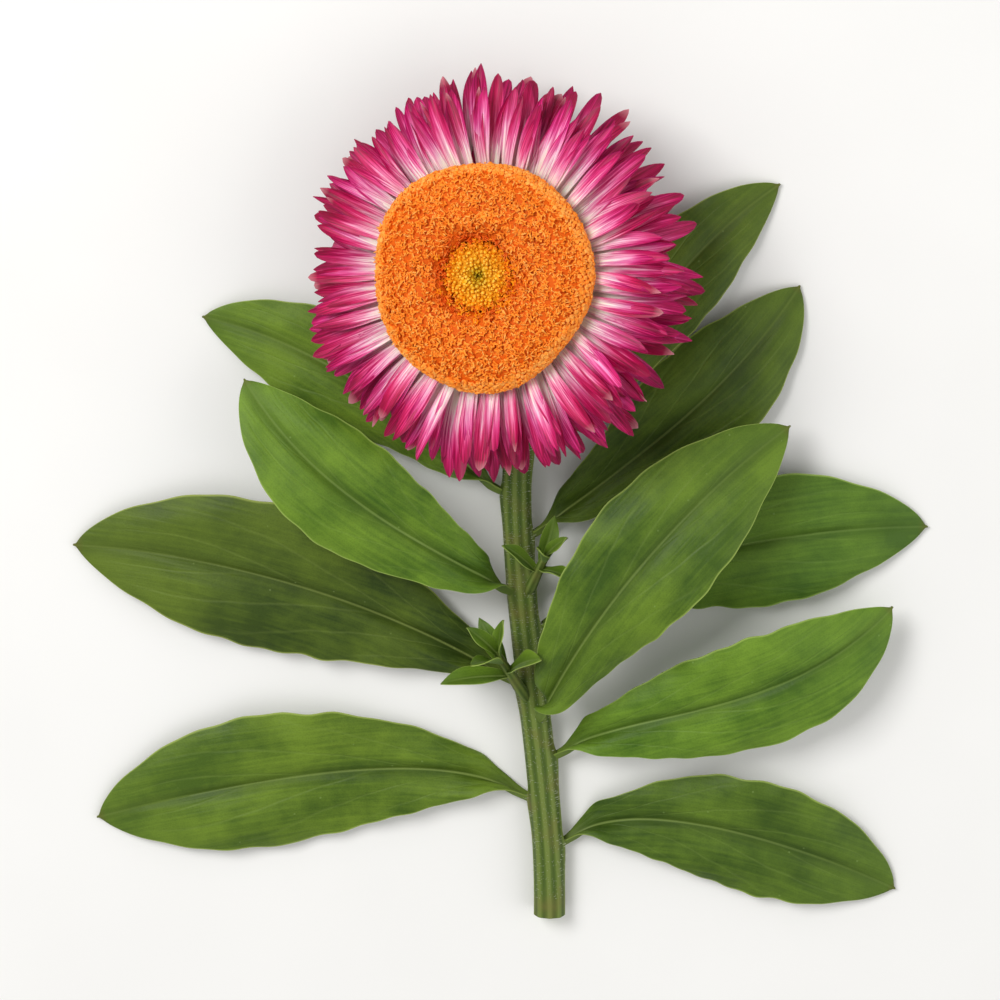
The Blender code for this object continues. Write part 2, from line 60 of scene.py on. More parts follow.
STEM_LOWER = np.array([(10.0, -88.0, 2.9), (10.5, -56.0, 2.9), (2.0, -22.0, 4.0), (3.5, 10.0, 4.6)])
STEM_UPPER = np.array([(3.5, 10.0, 4.6), (4.2, 33.0, 4.2), STEM_TOP - HEAD_AXIS * NECK_HANDLE, STEM_TOP])
STEM_RADII = np.array([(0.0, 3.1), (0.7, 2.8), (0.93, 2.6), (1.0, 3.6)])  # (share of the length, radius)
STEM_ROWS = 300
STEM_AROUND = 110
STEM_RIDGES = 9
RIDGE_HEIGHT = 0.045  # as a share of the radius
LOBE_HEIGHT = 0.035
OVER_RIDGES = 1.05  # times the radius, where leaves and shoots are set out from
NODE_SWELLING = 0.55
CUT_RADII = np.array([0.12, 0.3, 0.48, 0.62, 0.7, 0.78, 0.86, 0.93, 0.985])  # rings across the cut end
CUT_HOLLOW = 0.35
ON_SKIN = 1.5  # the fact "cut" beyond the cut face, on which it runs from 0 to 1
SWELLING_REACH = (5.0, 1.6)  # below a leaf and above it
SWELLING_ROUND = 0.55  # in radians

# Where each leaf leaves the stem, in millimetres from the cut end and in degrees round it from the top.
LEAF_SEATS = np.array([
    (15, 100), (25, -100), (34, 72), (43, 15), (50, -95), (61, 95), (70, -40), (81, 85), (90, -85),
    (99, 80), (109, 30), (114, -80),
])
SHOOT_SEATS = np.array([(50, -28), (72, 30)])


def linear(colour):
    """The linear RGBA of an sRGB hex colour: ((c + 0.055) / 1.055) ** 2.4, or c / 12.92 where dark."""
    channels = np.array([int(colour[i : i + 2], 16) for i in (1, 3, 5)]) / 255
    bright = ((channels + 0.055) / 1.055) ** 2.4
    return (*np.where(channels > 0.04045, bright, channels / 12.92), 1.0)


def fill(material, socket, value):
    """Gives a socket a value or a link from an output. A name stands for the piece's fact of that name."""
    if isinstance(value, str):
        value = add_node(material, "Attribute", {}, "Fac", attribute_name=value)
    if isinstance(value, bpy.types.NodeSocket):
        material.node_tree.links.new(value, socket)
    else:
        socket.default_value = value


def dress(material, **sockets):
    """Fills the sockets of the material's Principled shader, spaces in their names written as underscores."""
    shader = material.node_tree.nodes["Principled BSDF"]
    for name, value in sockets.items():
        fill(material, shader.inputs[name.replace("_", " ")], value)
    return material


def new_material(name, **sockets):
    """A material with a Principled shader, whose sockets are filled as in dress."""
    material = bpy.data.materials.new(name)
    material.use_nodes = True
    return dress(material, **sockets)


def add_node(material, kind, inputs, output=0, stops=(), **settings):
    """Adds a node with its settings, its links and values and a ramp's colour stops, and gives an output."""
    made = material.node_tree.nodes.new("ShaderNode" + kind)
    for name, value in settings.items():
        setattr(made, name, value)
    for key, value in inputs.items():
        fill(material, made.inputs[key], value)
    for number, (place, colour) in enumerate(stops):
        elements = made.color_ramp.elements
        if number == 0:
            elements.remove(elements[1])
            elements[0].position = place
            elements[0].color = linear(colour)
        else:
            elements.new(place).color = linear(colour)
    return made.outputs[output]


def combined(material, operation, total, parts):
    """Adds parts to a total, or multiplies it by them, in turn.

    A part is a fact, the span it is read over and its values at the two ends, beyond which it is level.
    """
    for fact, start, end, first, last in parts:
        part = add_node(material, "MapRange", {0: fact, 1: start, 2: end, 3: first, 4: last})
        total = add_node(material, "Math", {0: total, 1: part}, operation=operation)
    return total


def tinted(material, colour, tints):
    """Lays tints over a colour in turn: each is as a part of combined, for its strength, and a colour."""
    for fact, start, end, first, last, tint in tints:
        strength = add_node(material, "MapRange", {0: fact, 1: start, 2: end, 3: first, 4: last})
        colour = add_node(material, "Mix", {0: strength, 6: colour, 7: linear(tint)}, 2, data_type="RGBA")
    return colour


def tube_faces(rows, around, copies):
    """Faces of closed tubes, each numbered as its foot, its rows of points and its tip.

    Points go round anticlockwise, seen from the tip, so that every face points outwards.
    """
    ring = np.arange(around)
    following = (ring + 1) % around
    row = 1 + around * np.arange(rows - 1)[:, None]
    sides = np.stack([row + ring, row + following, row + around + following, row + around + ring], -1)
    last = 1 + around * (rows - 1)
    foot = np.stack([0 * ring, 1 + following, 1 + ring], -1)
    tip = np.stack([0 * ring + rows * around + 1, last + ring, last + following], -1)
    starts = (rows * around + 2) * np.arange(copies)[:, None, None]
    quads = (sides.reshape(-1, 4) + starts).reshape(-1, 4)
    triangles = (np.concatenate([foot, tip]) + starts).reshape(-1, 3)
    return quads.tolist() + triangles.tolist()


def with_poles(grid):
    """Lists a grid (..., rows, around, values) as foot, rows and tip: each pole is the mean of its ring."""
    flat = grid.reshape(*grid.shape[:-3], -1, grid.shape[-1])
    foot = grid[..., :1, :, :].mean(axis=-2)
    tip = grid[..., -1:, :, :].mean(axis=-2)
    return np.concatenate([foot, flat, tip], axis=-2)


def add_piece(name, points, faces, material, slot, facts, nodes=(), sharp=50):
    """Makes a mesh piece from points in millimetres, with facts as point attributes, riding on the root."""
    mesh = bpy.data.meshes.new(name)
    mesh.from_pydata(points.reshape(-1, 3) * MM, [], faces)
    for fact, values in facts.items():
        values = np.ascontiguousarray(np.broadcast_to(values, points.shape[:-1]), np.float32).ravel()
        mesh.attributes.new(fact, "FLOAT", "POINT").data.foreach_set("value", values)
    mesh.shade_smooth()
    mesh.set_sharp_from_angle(angle=math.radians(sharp))
    mesh.materials.append(material)
    piece = bpy.data.objects.new(name, mesh)
    bpy.context.scene.collection.objects.link(piece)
    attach(piece, "root")
    if nodes:
        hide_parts(*nodes)


def add_tube(name, grid, material, slot, facts, **more):
    """Makes a piece of closed tubes from a grid (copies, rows, around, xyz), and facts spread over it."""
    copies, rows, around = shape = grid.shape[:3]
    listed = {
        fact: with_poles(np.broadcast_to(values, shape)[..., None])[..., 0] for fact, values in facts.items()
    }
    faces = tube_faces(rows, around, copies)
    add_piece(name, with_poles(grid), faces, material, slot, listed, **more)


def unit(vectors):
    """Each vector divided by its length."""
    return vectors / np.linalg.norm(vectors, axis=-1, keepdims=True)


def ease(x):
    """0 below 0, 1 above 1, and 3x^2 - 2x^3 between."""
    x = np.clip(x, 0.0, 1.0)
    return x * x * (3 - 2 * x)


def bezier(handles, t):
    """Points of a cubic Bezier: (1-t)^3 a + 3(1-t)^2 t b + 3(1-t) t^2 c + t^3 d."""
    a, b, c, d = handles
    t = np.asarray(t)[:, None]
    return (1 - t) ** 3 * a + 3 * (1 - t) ** 2 * t * b + 3 * (1 - t) * t**2 * c + t**3 * d


def along_line(points, distances):
    """Points at these distances along a polyline."""
    steps = np.linalg.norm(np.diff(points, axis=0), axis=1)
    reached = np.concatenate([[0.0], np.cumsum(steps)])
    return np.stack([np.interp(distances, reached, column) for column in points.T], -1)


def line_length(points):
    """The length of a polyline."""
    return np.linalg.norm(np.diff(points, axis=0), axis=1).sum()


stem_line = np.concatenate([
    bezier(STEM_LOWER, np.linspace(0, 1, 60)), bezier(STEM_UPPER, np.linspace(0, 1, 60))[1:]
])
stem_length = line_length(stem_line)


def on_head(points):
    """Points of the head's own frame, which starts at its centre with Z along its axis, in the flower's."""
    return points @ HEAD_TURN.T + HEAD_CENTRE


def stem_frame(distances):
    """The stem's centre, direction, right side and lift there. The right side is +X made square to it."""
    centre = along_line(stem_line, distances)
    direction = unit(along_line(stem_line, distances + 2.0) - along_line(stem_line, distances - 2.0))
    right = np.array([1.0, 0.0, 0.0]) - direction * direction[..., :1]
    right = unit(right)
    return centre, direction, right, np.cross(right, direction)


def stem_seat(along, turn):
    """The stem's centre and direction at a seat, the way out there, and its radius over the ridges."""
    centre, axis, right, lift = (part[0] for part in stem_frame(np.array([along], float)))
    turn = math.radians(turn)
    outward = right * math.sin(turn) + lift * math.cos(turn)
    return centre, axis, outward, np.interp(along / stem_length, *STEM_RADII.T) * OVER_RIDGES


def stem_surface(distances, angles):
    """Points and ridge heights on the stem, on a grid of distances by angles from its top.

    The radius is R(s) (1 + ridges cos(9 a) + lobes cos(3 a)), plus a swelling below each leaf that
    falls off as a bell curve along and round the stem. What would pass through the surface stays on it.
    """
    centre, _, right, lift = (part[:, None, :] for part in stem_frame(distances))
    s, a = distances[:, None], angles[None, :]
    ridge = 0.5 + 0.5 * np.cos(STEM_RIDGES * a + 0.02 * s + 0.4 * np.sin(0.06 * s))
    radius = np.interp(s / stem_length, *STEM_RADII.T)
    radius = radius * (1 + RIDGE_HEIGHT * (ridge**1.5 - 0.5) + LOBE_HEIGHT * np.cos(3 * (a - math.pi)))
    for along, turn in np.concatenate([LEAF_SEATS, SHOOT_SEATS]):
        away = (a - math.radians(turn) + math.pi) % (2 * math.pi) - math.pi
        spread = np.where(s > along, SWELLING_REACH[1], SWELLING_REACH[0])
        bell = np.exp(-(((s - along) / spread) ** 2) - (away / SWELLING_ROUND) ** 2)
        radius = radius + NODE_SWELLING * bell
    points = centre + radius[..., None] * (lift * np.cos(a)[..., None] + right * np.sin(a)[..., None])
    points[..., 2] = np.maximum(points[..., 2], 0.0)
    return points, ridge


distances = np.linspace(0.0, stem_length, STEM_ROWS)
angles = np.linspace(0.0, 2 * math.pi, STEM_AROUND, endpoint=False)
bark, ridge = stem_surface(distances, angles)
cut_centre = stem_line[0]
cut_share = CUT_RADII[:, None, None]
cut_face = cut_centre + (bark[0] - cut_centre) * cut_share
cut_face = cut_face + np.array([0.0, CUT_HOLLOW, 0.0]) * (1 - cut_share**3)
stem_grid = np.concatenate([cut_face, bark])[None]
stem_facts = {
    "ridge": np.concatenate([np.ones((len(CUT_RADII), STEM_AROUND)), ridge]),
    "share": np.concatenate([0 * CUT_RADII, distances / stem_length])[:, None],
    "cut": np.concatenate([CUT_RADII, np.full(STEM_ROWS, ON_SKIN)])[:, None],
}


def stem_material():
    """Green stem: a waxy skin over ridges of paler fibres, so crests are light and grooves dark."""
    material = new_material("green_stem_skin", Roughness=0.55, IOR=1.42, Specular_IOR_Level=0.3)
    place = add_node(material, "TexCoord", {}, "Object")
    # Fibres 0.6 mm thick run along the stem, drawn out 12 times along Y, under brown blotches of 6 mm.
    drawn = add_node(material, "Mapping", {"Vector": place, "Scale": (1800, 150, 1800)})
    fibres = add_node(material, "TexNoise", {"Vector": drawn, "Scale": 1.0, "Detail": 4})
    blotches = add_node(material, "TexNoise", {"Vector": place, "Scale": 160, "Detail": 3})
    relief = add_node(material, "Math", {0: fibres, 1: 0.5, 2: "ridge"}, operation="MULTIPLY_ADD")
    skin = add_node(
        material, "ValToRGB", {0: relief},
        stops=[(0.15, "#41541D"), (0.45, "#4D6123"), (0.8, "#5A6D2A"), (1.0, "#6C7C39")],
    )
    skin = tinted(material, skin, [
        (blotches, 0.5, 0.75, 0.0, 0.45, "#7B6A3A"), ("share", 0.75, 1.0, 0.0, 0.5, "#8C8A4C")
    ])
    # The cut face is a white pith of spongy cells, 0.3 mm wide, in a green rind.
    rings = add_node(
        material, "ValToRGB", {0: "cut"},
        stops=[
            (0.0, "#E4E7C6"), (0.55, "#DCE2B4"), (0.66, "#A9BC70"), (0.74, "#8FA858"), (0.82, "#B9C98A"),
            (0.92, "#6E8A3C"),
        ],
    )
    sponge = add_node(material, "TexVoronoi", {"Vector": place, "Scale": 3500})
    sponge = add_node(material, "MapRange", {0: sponge, 1: 0.0, 2: 0.7, 3: 0.8, 4: 1.05})
    rings = add_node(
        material, "Mix", {0: 1.0, 6: rings, 7: sponge}, 2, data_type="RGBA", blend_type="MULTIPLY"
    )
    is_skin = add_node(material, "Math", {0: "cut", 1: 1.02}, operation="GREATER_THAN")
    colour = add_node(material, "Mix", {0: is_skin, 6: rings, 7: skin}, 2, data_type="RGBA")
    bump = add_node(material, "Bump", {"Height": fibres, "Strength": 0.5, "Distance": 0.15 * MM})
    return dress(material, Base_Color=colour, Normal=bump)


stem_skin = stem_material()
add_tube("stem_skin", stem_grid, stem_skin, "stem", stem_facts, nodes=["stem"])

# The down on the stem
# Short white hairs, dense on the young stem under the head and sparse further down. Each is a
# three-sided spike that leans towards the head. They are drawn twice as thick as life, to show.
DOWN_HAIRS = 5200
DOWN_LENGTH = (0.35, 0.95)
DOWN_RADIUS = 0.028
DOWN_SPREAD = 0.78  # how far round to each side of the top, as a share of half a turn
down_chance = np.random.default_rng(3)


def down_material():
    """Cottony plant hair: translucent cellulose, white and matt, in patches of 1 mm."""
    material = new_material("white_plant_down", Roughness=0.8, Sheen_Weight=0.4)
    place = add_node(material, "TexCoord", {}, "Object")
    shade = add_node(material, "TexNoise", {"Vector": place, "Scale": 900})
    colour = add_node(material, "ValToRGB", {0: shade}, stops=[(0.3, "#C9CFAE"), (0.7, "#EEF0DF")])
    return dress(material, Base_Color=colour)


def spikes(feet, outward, lengths, radius, rows=1, curl=0.0):
    """Three-sided spikes as foot, rings of three and tip, along foot + length (outward t + curl t^2)."""
    aside = unit(np.cross(outward, np.array([0.31, 0.52, 0.79])))
    across = np.cross(outward, aside)
    turns = np.radians([0.0, 120.0, 240.0])[:, None]
    round_it = np.cos(turns) * aside[:, None] + np.sin(turns) * across[:, None]
    t = np.linspace(0, 1, rows + 1)[:, None]
    bend = (curl + 0 * outward)[:, None] * t * t
    line = feet[:, None] + lengths[:, None, None] * (outward[:, None] * t + bend)
    rings = line[:, :-1, None] + radius * np.sqrt(1 - t[:-1, None] ** 2) * round_it[:, None]
    return np.concatenate([line[:, :1], rings.reshape(len(feet), -1, 3), line[:, -1:]], axis=1)


hair_along = stem_length * (1 - 0.97 * down_chance.random(DOWN_HAIRS) ** 1.6)
hair_round = down_chance.uniform(-DOWN_SPREAD, DOWN_SPREAD, DOWN_HAIRS) * math.pi
hair_row = np.clip((hair_along / stem_length * (STEM_ROWS - 1)).astype(int), 0, STEM_ROWS - 1)
hair_column = (hair_round / (2 * math.pi) * STEM_AROUND).astype(int) % STEM_AROUND
hair_feet = bark[hair_row, hair_column]
hair_centre, hair_up, _, _ = stem_frame(distances[hair_row])
hair_out = unit(hair_feet - hair_centre)
hair_out = unit(hair_out + hair_up * 0.45 + down_chance.normal(0, 0.22, (DOWN_HAIRS, 3)))
hair_lengths = down_chance.uniform(*DOWN_LENGTH, DOWN_HAIRS)
hair_points = spikes(hair_feet - hair_out * 0.05, hair_out, hair_lengths, DOWN_RADIUS)
add_piece("stem_down", hair_points, tube_faces(1, 3, DOWN_HAIRS), down_material(), "stem", {})

# The leaves
# Twelve lance-shaped leaves, each a thin green blade that grows straight out of the stem's side. A
# pale midrib lies in a groove above, with painted shade beside it, and stands out below. The edges wave
# and have a pale rim, partly the edge's own colour and partly painted highlight.
# The tone is 0 on an old dark leaf and 1 on a young light one, and olive is below 0 on a bluish one.
LEAF_MEASURES = ("heading", "bend", "length", "width", "arch", "tip", "wave", "roll", "tone", "olive")
LEAVES = [dict(zip(LEAF_MEASURES, row)) for row in (
    (92, 14, 67, 24, 8, 0.4, 1.1, 0, 0.25, 0.0),
    (-88, -10, 86, 28, 8, 0.4, 1.3, 0, 0.55, 0.3),
    (70, -12, 73, 24, 19, 7, 1.2, 10, 0.80, -0.5),
    (30, 16, 78, 25, 30, 10, 1.2, -12, 0.45, 0.0),
    (-66, -12, 91, 30, 10, 0.4, 1.3, 0, 0.05, 0.9),
    (69, 12, 78, 26, 9, 0.4, 1.1, 0, 0.35, -0.7),
    (-54, 10, 68, 22, 24, 11, 1.0, 14, 0.75, -0.3),
    (50, -8, 71, 22, 8, 0.4, 1.0, 0, 0.1, 0.5),
    (-52, -14, 67, 20, 7, 0.4, 0.9, 0, 0.6, 0.2),
    (37, 10, 70, 18, 7, 0.4, 0.8, 0, 0.30, 0.8),
    (16, 0, 26, 7, 9, 10, 0.3, 0, 0.95, 0.0),
    (-58, 0, 30, 8, 5, 0.4, 0.3, 0, 0.9, 0.0),
)]
LEAF_ROWS = 130
LEAF_HALF_COLUMNS = 17
LEAF_HANDLES = (0.22, 0.62)  # where the midrib's inner Bezier points lie, as shares of its length
LEAF_FOLD = (34.0, 7.0)  # degrees that each half rises by, at the foot and further out
LEAF_ROOT_GAP = 0.65
LEAF_BASE_HALF_WIDTH = 2.4
LEAF_FOOT_SINK = 1.5
LEAF_THICK = 0.24  # half the blade's thickness beside the midrib
LEAF_EDGE_THICK = 0.10
LEAF_KEEL = 0.55
LEAF_GROOVE = 0.35
VEIN_PAIRS = 3.6
BLADE_PUFF = 0.12  # how far the blade swells up between two veins
BLADE_SWELL = 0.28
BLADE_BULGE = 0.75  # how far each half of the blade arches up between midrib and edge
EDGE_RIPPLE = 0.38
FOOT_NARROWING = 0.38  # a leaf's width at its foot, as a share of what its outline gives
COMMON_WIDTH = 26  # relief grows and shrinks with the width, from this one
LANDING = 0.9  # how softly a leaf comes to lie on the surface


def leaf_half_width(leaf, u):
    """Half a leaf's width: (W/2) sin(pi u^1.7)^p + 2.4 (1-u)^2, and a short blunt point at u = 1.

    The power p falls from 0.85 to 0.70 towards the tip, which makes the tip rounder.
    """
    power = 0.85 - 0.15 * ease((u - 0.6) / 0.4)
    blade = leaf["width"] / 2 * np.sin(math.pi * np.clip(u, 0, 1) ** 1.7) ** power
    point = 0.5 * np.sqrt(np.clip((1.007 - u) / 0.02, 0, 1))
    return np.maximum(blade + LEAF_BASE_HALF_WIDTH * (1 - np.clip(u, 0, 1)) ** 2, point)


def leaf_midrib(leaf, seat):
    """A midrib's four Bezier points, and the stem's direction, way out and radius at its seat."""
    centre, axis, outward, radius = stem_seat(*seat)
    root = centre + outward * (radius + LEAF_ROOT_GAP)
    middle, end = (math.radians(leaf["heading"] + leaf["bend"] * share) for share in (-0.5, 0.5))
    launch = root + unit(outward + axis * 0.9) * leaf["length"] * LEAF_HANDLES[0]
    reach = root + np.array([math.sin(middle), math.cos(middle), 0.0]) * leaf["length"] * LEAF_HANDLES[1]
    tip = root + np.array([math.sin(end), math.cos(end), 0.0]) * leaf["length"]
    reach[2], tip[2] = leaf["arch"], leaf["tip"]
    return np.array([root, launch, reach, tip]), axis, outward, radius


def turned(vectors, axes, angles):
    """Vectors turned about axes by angles, by Rodrigues' formula."""
    c, s = np.cos(angles)[..., None], np.sin(angles)[..., None]
    along = (vectors * axes).sum(-1, keepdims=True)
    return vectors * c + np.cross(axes, vectors) * s + axes * along * (1 - c)


def landed(upper, lower):
    """Lifts a blade off the surface: its underside's height z becomes (z + (z^2 + k^2)^0.5) / 2."""
    z = lower[..., 2]
    lift = (z + np.sqrt(z * z + LANDING**2)) / 2 - z
    upper[..., 2] += lift
    lower[..., 2] += lift
    return upper, lower


def over_and_under(**facts):
    """Facts that vary across a blade, listed over its upper face and back underneath, with "under"."""
    both = {name: np.concatenate([values, values[..., ::-1]], axis=-1) for name, values in facts.items()}
    return both | {"under": np.repeat([0.0, 1.0], facts["e"].shape[-1])}


def leaf_surface(leaf, seat, phase):
    """A leaf as rows of points that run over its upper face from left to right and back underneath.

    The midrib is a Bezier. Across it, with e from -1 to 1, the blade rises by half the width times
    |e| tan(fold) - 0.12 e^2, plus waves that grow as e^2. Veins leave the midrib at a sharp angle,
    along u - 0.78 |e| + 0.14 |e|^3, and the blade is puffed up between them. The foot bends round the
    stem: it comes inwards by R - (R^2 - x^2)^0.5, and its end sinks into it.
    """
    (a, b, c, d), axis, outward, radius = leaf_midrib(leaf, seat)
    v = np.linspace(0, 1, LEAF_ROWS)
    u = -0.025 + 1.030 * (0.55 * v + 0.45 * (1 - np.cos(math.pi * v)) / 2)
    middle = bezier((a, b, c, d), u)
    w = 1 - u[:, None]
    direction = unit((b - a) * w * w + (c - b) * 2 * w * u[:, None] + (d - c) * u[:, None] ** 2)
    level = ease(u / 0.3)[:, None]
    facing = axis * (1 - level) + np.array([0.0, 0.0, 1.0]) * level
    facing = turned(facing, direction, np.radians(leaf["roll"]) * u)
    normal = unit(facing - direction * (facing * direction).sum(-1, keepdims=True))
    across = np.cross(direction, normal)

    s = np.linspace(0, 1, LEAF_HALF_COLUMNS)
    e = 0.72 * s**1.7 + 0.28 * (1 - (1 - s) ** 1.5)
    e = np.concatenate([-e[:0:-1], e])[None, :]
    u = u[:, None]
    inside = np.clip(u, 0, 1)
    half = leaf_half_width(leaf, u)
    uneven = 0.014 * np.sin(2 * math.pi * 6.3 * u + phase)
    uneven = uneven + 0.010 * np.sin(2 * math.pi * 11.7 * u + 2 * phase)
    half = half * (1 + uneven * ease(u / 0.2)) * (FOOT_NARROWING + (1 - FOOT_NARROWING) * ease(u / 0.18))
    size = leaf["width"] / COMMON_WIDTH
    side = np.abs(e)
    fold = np.tan(np.radians(LEAF_FOLD[0] + (LEAF_FOLD[1] - LEAF_FOLD[0]) * np.clip(u / 0.4, 0, 1)))
    soft = np.sqrt(e * e + 0.02) - math.sqrt(0.02)  # |e| with its corner rounded at the midrib
    arch = 4 * side * (1 - side) * ease(u / 0.25) * ease((1 - u) / 0.3)
    rise = half * (soft * fold * 1.08 - e * e * 0.12) + BLADE_BULGE * size * arch
    wave = np.sin(2 * math.pi * 1.7 * u + 1.9 * e + seat[0]) * np.sin(math.pi * inside)
    ripple = np.sin(2 * math.pi * (5.3 * u + 0.6 * np.sin(9 * u + phase)) + phase + 2.5 * np.sign(e))
    rise = rise + leaf["wave"] * e * e * wave
    rise = rise + EDGE_RIPPLE * size * side**3 * ripple * np.sin(math.pi * inside)
    x = half * e
    groove = np.exp(-((x / 0.7) ** 2)) * ease((1.0 - u) / 0.12)
    veins = VEIN_PAIRS * (u - 0.78 * side + 0.14 * side**3) + 0.23 * np.sign(e) + phase
    off_vein = np.abs(veins - np.round(veins))
    reach = ease((u + 0.02) / 0.1) * ease((0.97 - u) / 0.15) * (1 - e**4) * (1 - np.exp(-((x / 0.9) ** 2)))
    swell = np.sin(2 * math.pi * 2.7 * u + 4 * side + phase + 1.3 * np.sign(e)) * reach
    relief = size * (BLADE_PUFF * reach * (4 * off_vein**2) + BLADE_SWELL * swell - LEAF_GROOVE * groove)
    thick = LEAF_EDGE_THICK + (LEAF_THICK - LEAF_EDGE_THICK) * (1 - e**6)
    keel = LEAF_KEEL * (1 - 0.72 * inside) * np.exp(-((x / 0.75) ** 2))
    reach_round = radius + LEAF_ROOT_GAP
    inwards = reach_round - np.sqrt(np.maximum(reach_round**2 - x**2, 0.5))
    inwards = inwards * (1 - ease((u - 0.01) / 0.12)) * 1.15 + LEAF_FOOT_SINK * (1 - ease((u + 0.025) / 0.08))
    ground = middle[:, None] + across[:, None] * x[..., None] - outward * inwards[..., None]
    upper = ground + normal[:, None] * (rise + relief + thick)[..., None]
    lower = ground + normal[:, None] * (rise + 0.6 * relief - thick - keel)[..., None]
    upper, lower = landed(upper, lower)
    grid = np.concatenate([upper, lower[:, ::-1]], axis=1)
    facts = {"u": u, "y": u * leaf["length"]}
    return grid, facts | over_and_under(e=e, x=x, veins=veins, reach=reach)


def leaf_material(name, tone, olive=0.0):
    """Leaf blade: a thin wax over green tissue with a soft sheen, duller and a little greyer below.

    The midrib is a fine pale line between two dark bands of painted shade from its groove, veins are a
    little pale, and the yellow-green rim is partly the edge's own colour and partly painted highlight.
    """
    dark, light = (
        tuple(a + (b - a) * tone for a, b in zip(linear(old), linear(young)))
        for old, young in (("#2C4114", "#426016"), ("#50681F", "#728F29"))
    )
    material = new_material(name, IOR=1.45, Specular_IOR_Level=0.2)
    place = add_node(material, "TexCoord", {}, "Object")
    # Clouds are 17 mm wide. Streaks 0.7 mm wide and 14 mm long run along the blade.
    clouds = add_node(material, "TexNoise", {"Vector": place, "Scale": 60, "Detail": 5, "Roughness": 0.6})
    where = add_node(material, "CombineXYZ", {0: "x", 1: "y", 2: tone * 50})
    drawn = add_node(material, "Mapping", {"Vector": where, "Scale": (1.4, 0.07, 1.0)})
    streaks = add_node(material, "TexNoise", {"Vector": drawn, "Scale": 1.0, "Detail": 4})
    mottle = add_node(material, "Math", {0: streaks, 1: 0.35, 2: clouds}, operation="MULTIPLY_ADD")
    mottle = add_node(material, "MapRange", {0: mottle, 1: 0.50, 2: 0.82})
    green = add_node(material, "Mix", {0: mottle, 6: dark, 7: light}, 2, data_type="RGBA")
    # Cells and fine net veins are 0.5 mm apart, and pale specks 4 mm.
    net = add_node(material, "TexVoronoi", {"Vector": place, "Scale": 2000}, feature="DISTANCE_TO_EDGE")
    net = add_node(material, "MapRange", {0: net, 1: 0.0, 2: 0.25, 3: 1.10, 4: 0.96})
    green = add_node(material, "Mix", {0: 1.0, 6: green, 7: net}, 2, data_type="RGBA", blend_type="MULTIPLY")
    specks = add_node(material, "TexVoronoi", {"Vector": place, "Scale": 230})
    beside, edge = (add_node(material, "Math", {0: fact}, operation="ABSOLUTE") for fact in ("x", "e"))
    # How far a point lies from the nearest vein, as a share of the space between two veins.
    off_vein = add_node(material, "Math", {0: "veins", 1: 0.5}, operation="PINGPONG")
    vein = combined(material, "MULTIPLY", "reach", [(off_vein, 0.0, 0.07, 0.15, 0.0)])
    rib = combined(
        material, "MULTIPLY", 1.0, [(beside, 0.10, 0.32, 0.42, 0.0), ("u", 0.15, 0.9, 1.0, 0.2)]
    )
    # The dark bands beside the midrib are painted shade of its groove, and the pale rim at the edge is partly
    # painted highlight.
    green = tinted(material, green, [
        (beside, 0.3, 2.6, 0.45, 0.0, "#2A3D12"), ("u", 0.55, 1.0, 0.0, 0.25, "#6E8A34"),
        (vein, 0.0, 1.0, 0.0, 1.0, "#82994A"), (specks, 0.02, 0.06, 0.25, 0.0, "#9DB56E"),
        ("under", 0.0, 1.0, 0.0, 0.45, "#6E8450"), (rib, 0.0, 1.0, 0.0, 1.0, "#9DB062"),
        (edge, 0.97, 0.995, 0.0, 0.7, "#A3B65C"),
    ])
    green = add_node(
        material, "HueSaturation", {"Hue": 0.5 - 0.016 * olive, "Value": 1 - 0.06 * olive, "Color": green}
    )
    # The narrow foot has the stem's colour, and the point is brown.
    green = tinted(material, green, [
        ("u", 0.02, 0.12, 0.8, 0.0, "#66792F"), ("u", 0.985, 1.004, 0.0, 0.7, "#5E5A26")
    ])
    dullness = combined(
        material, "ADD", 0.0, [(clouds, 0.3, 0.7, 0.42, 0.56), ("under", 0.0, 1.0, 0.0, 0.2)]
    )
    # Veins are sunk, over a grain of 0.7 mm.
    sunk = add_node(material, "Math", {0: vein, 1: -1.0}, operation="MULTIPLY")
    grain = add_node(material, "TexNoise", {"Vector": place, "Scale": 1400, "Detail": 3})
    relief = {}
    for height, strength, depth in ((sunk, 0.8, 0.6), (grain, 0.6, 0.10), (streaks, 0.5, 0.25)):
        inputs = {"Height": height, "Strength": strength, "Distance": depth * MM, **relief}
        relief = {"Normal": add_node(material, "Bump", inputs)}
    return dress(material, Base_Color=green, Roughness=dullness, **relief)


for number, (leaf, seat) in enumerate(zip(LEAVES, LEAF_SEATS), start=1):
    leaf_grid, leaf_facts = leaf_surface(leaf, seat, phase=0.37 * number)
    leaf_green = leaf_material(f"leaf_green_{number:02d}", leaf["tone"], leaf["olive"])
    add_tube(
        f"leaf_blade_{number:02d}", leaf_grid[None], leaf_green, "leaf", leaf_facts,
        nodes=[f"leaf_{number:02d}"],
    )

# The papery bracts
# Stiff, dry, silky scales that stand for petals, set at the golden angle. Inner ones go from white through
# pink to magenta, and slim ones stand among them. Outer ones are shorter and deeper red, and short scales
# fill the gap between the two whorls.
GOLDEN_ANGLE = math.pi * (3.0 - math.sqrt(5.0))
UPPER_RECEPTACLE = np.array([(17.2, 0.0), (17.0, -2.4), (16.5, -5.0)])
LOWER_RECEPTACLE = np.array([(16.2, -5.3), (15.0, -7.8), (12.2, -10.2), (8.4, -12.2), (4.2, -13.4)])
SCALE_WALL = np.array([(17.0, -1.8), (16.6, -4.6), (15.4, -7.0), (12.6, -9.8)])
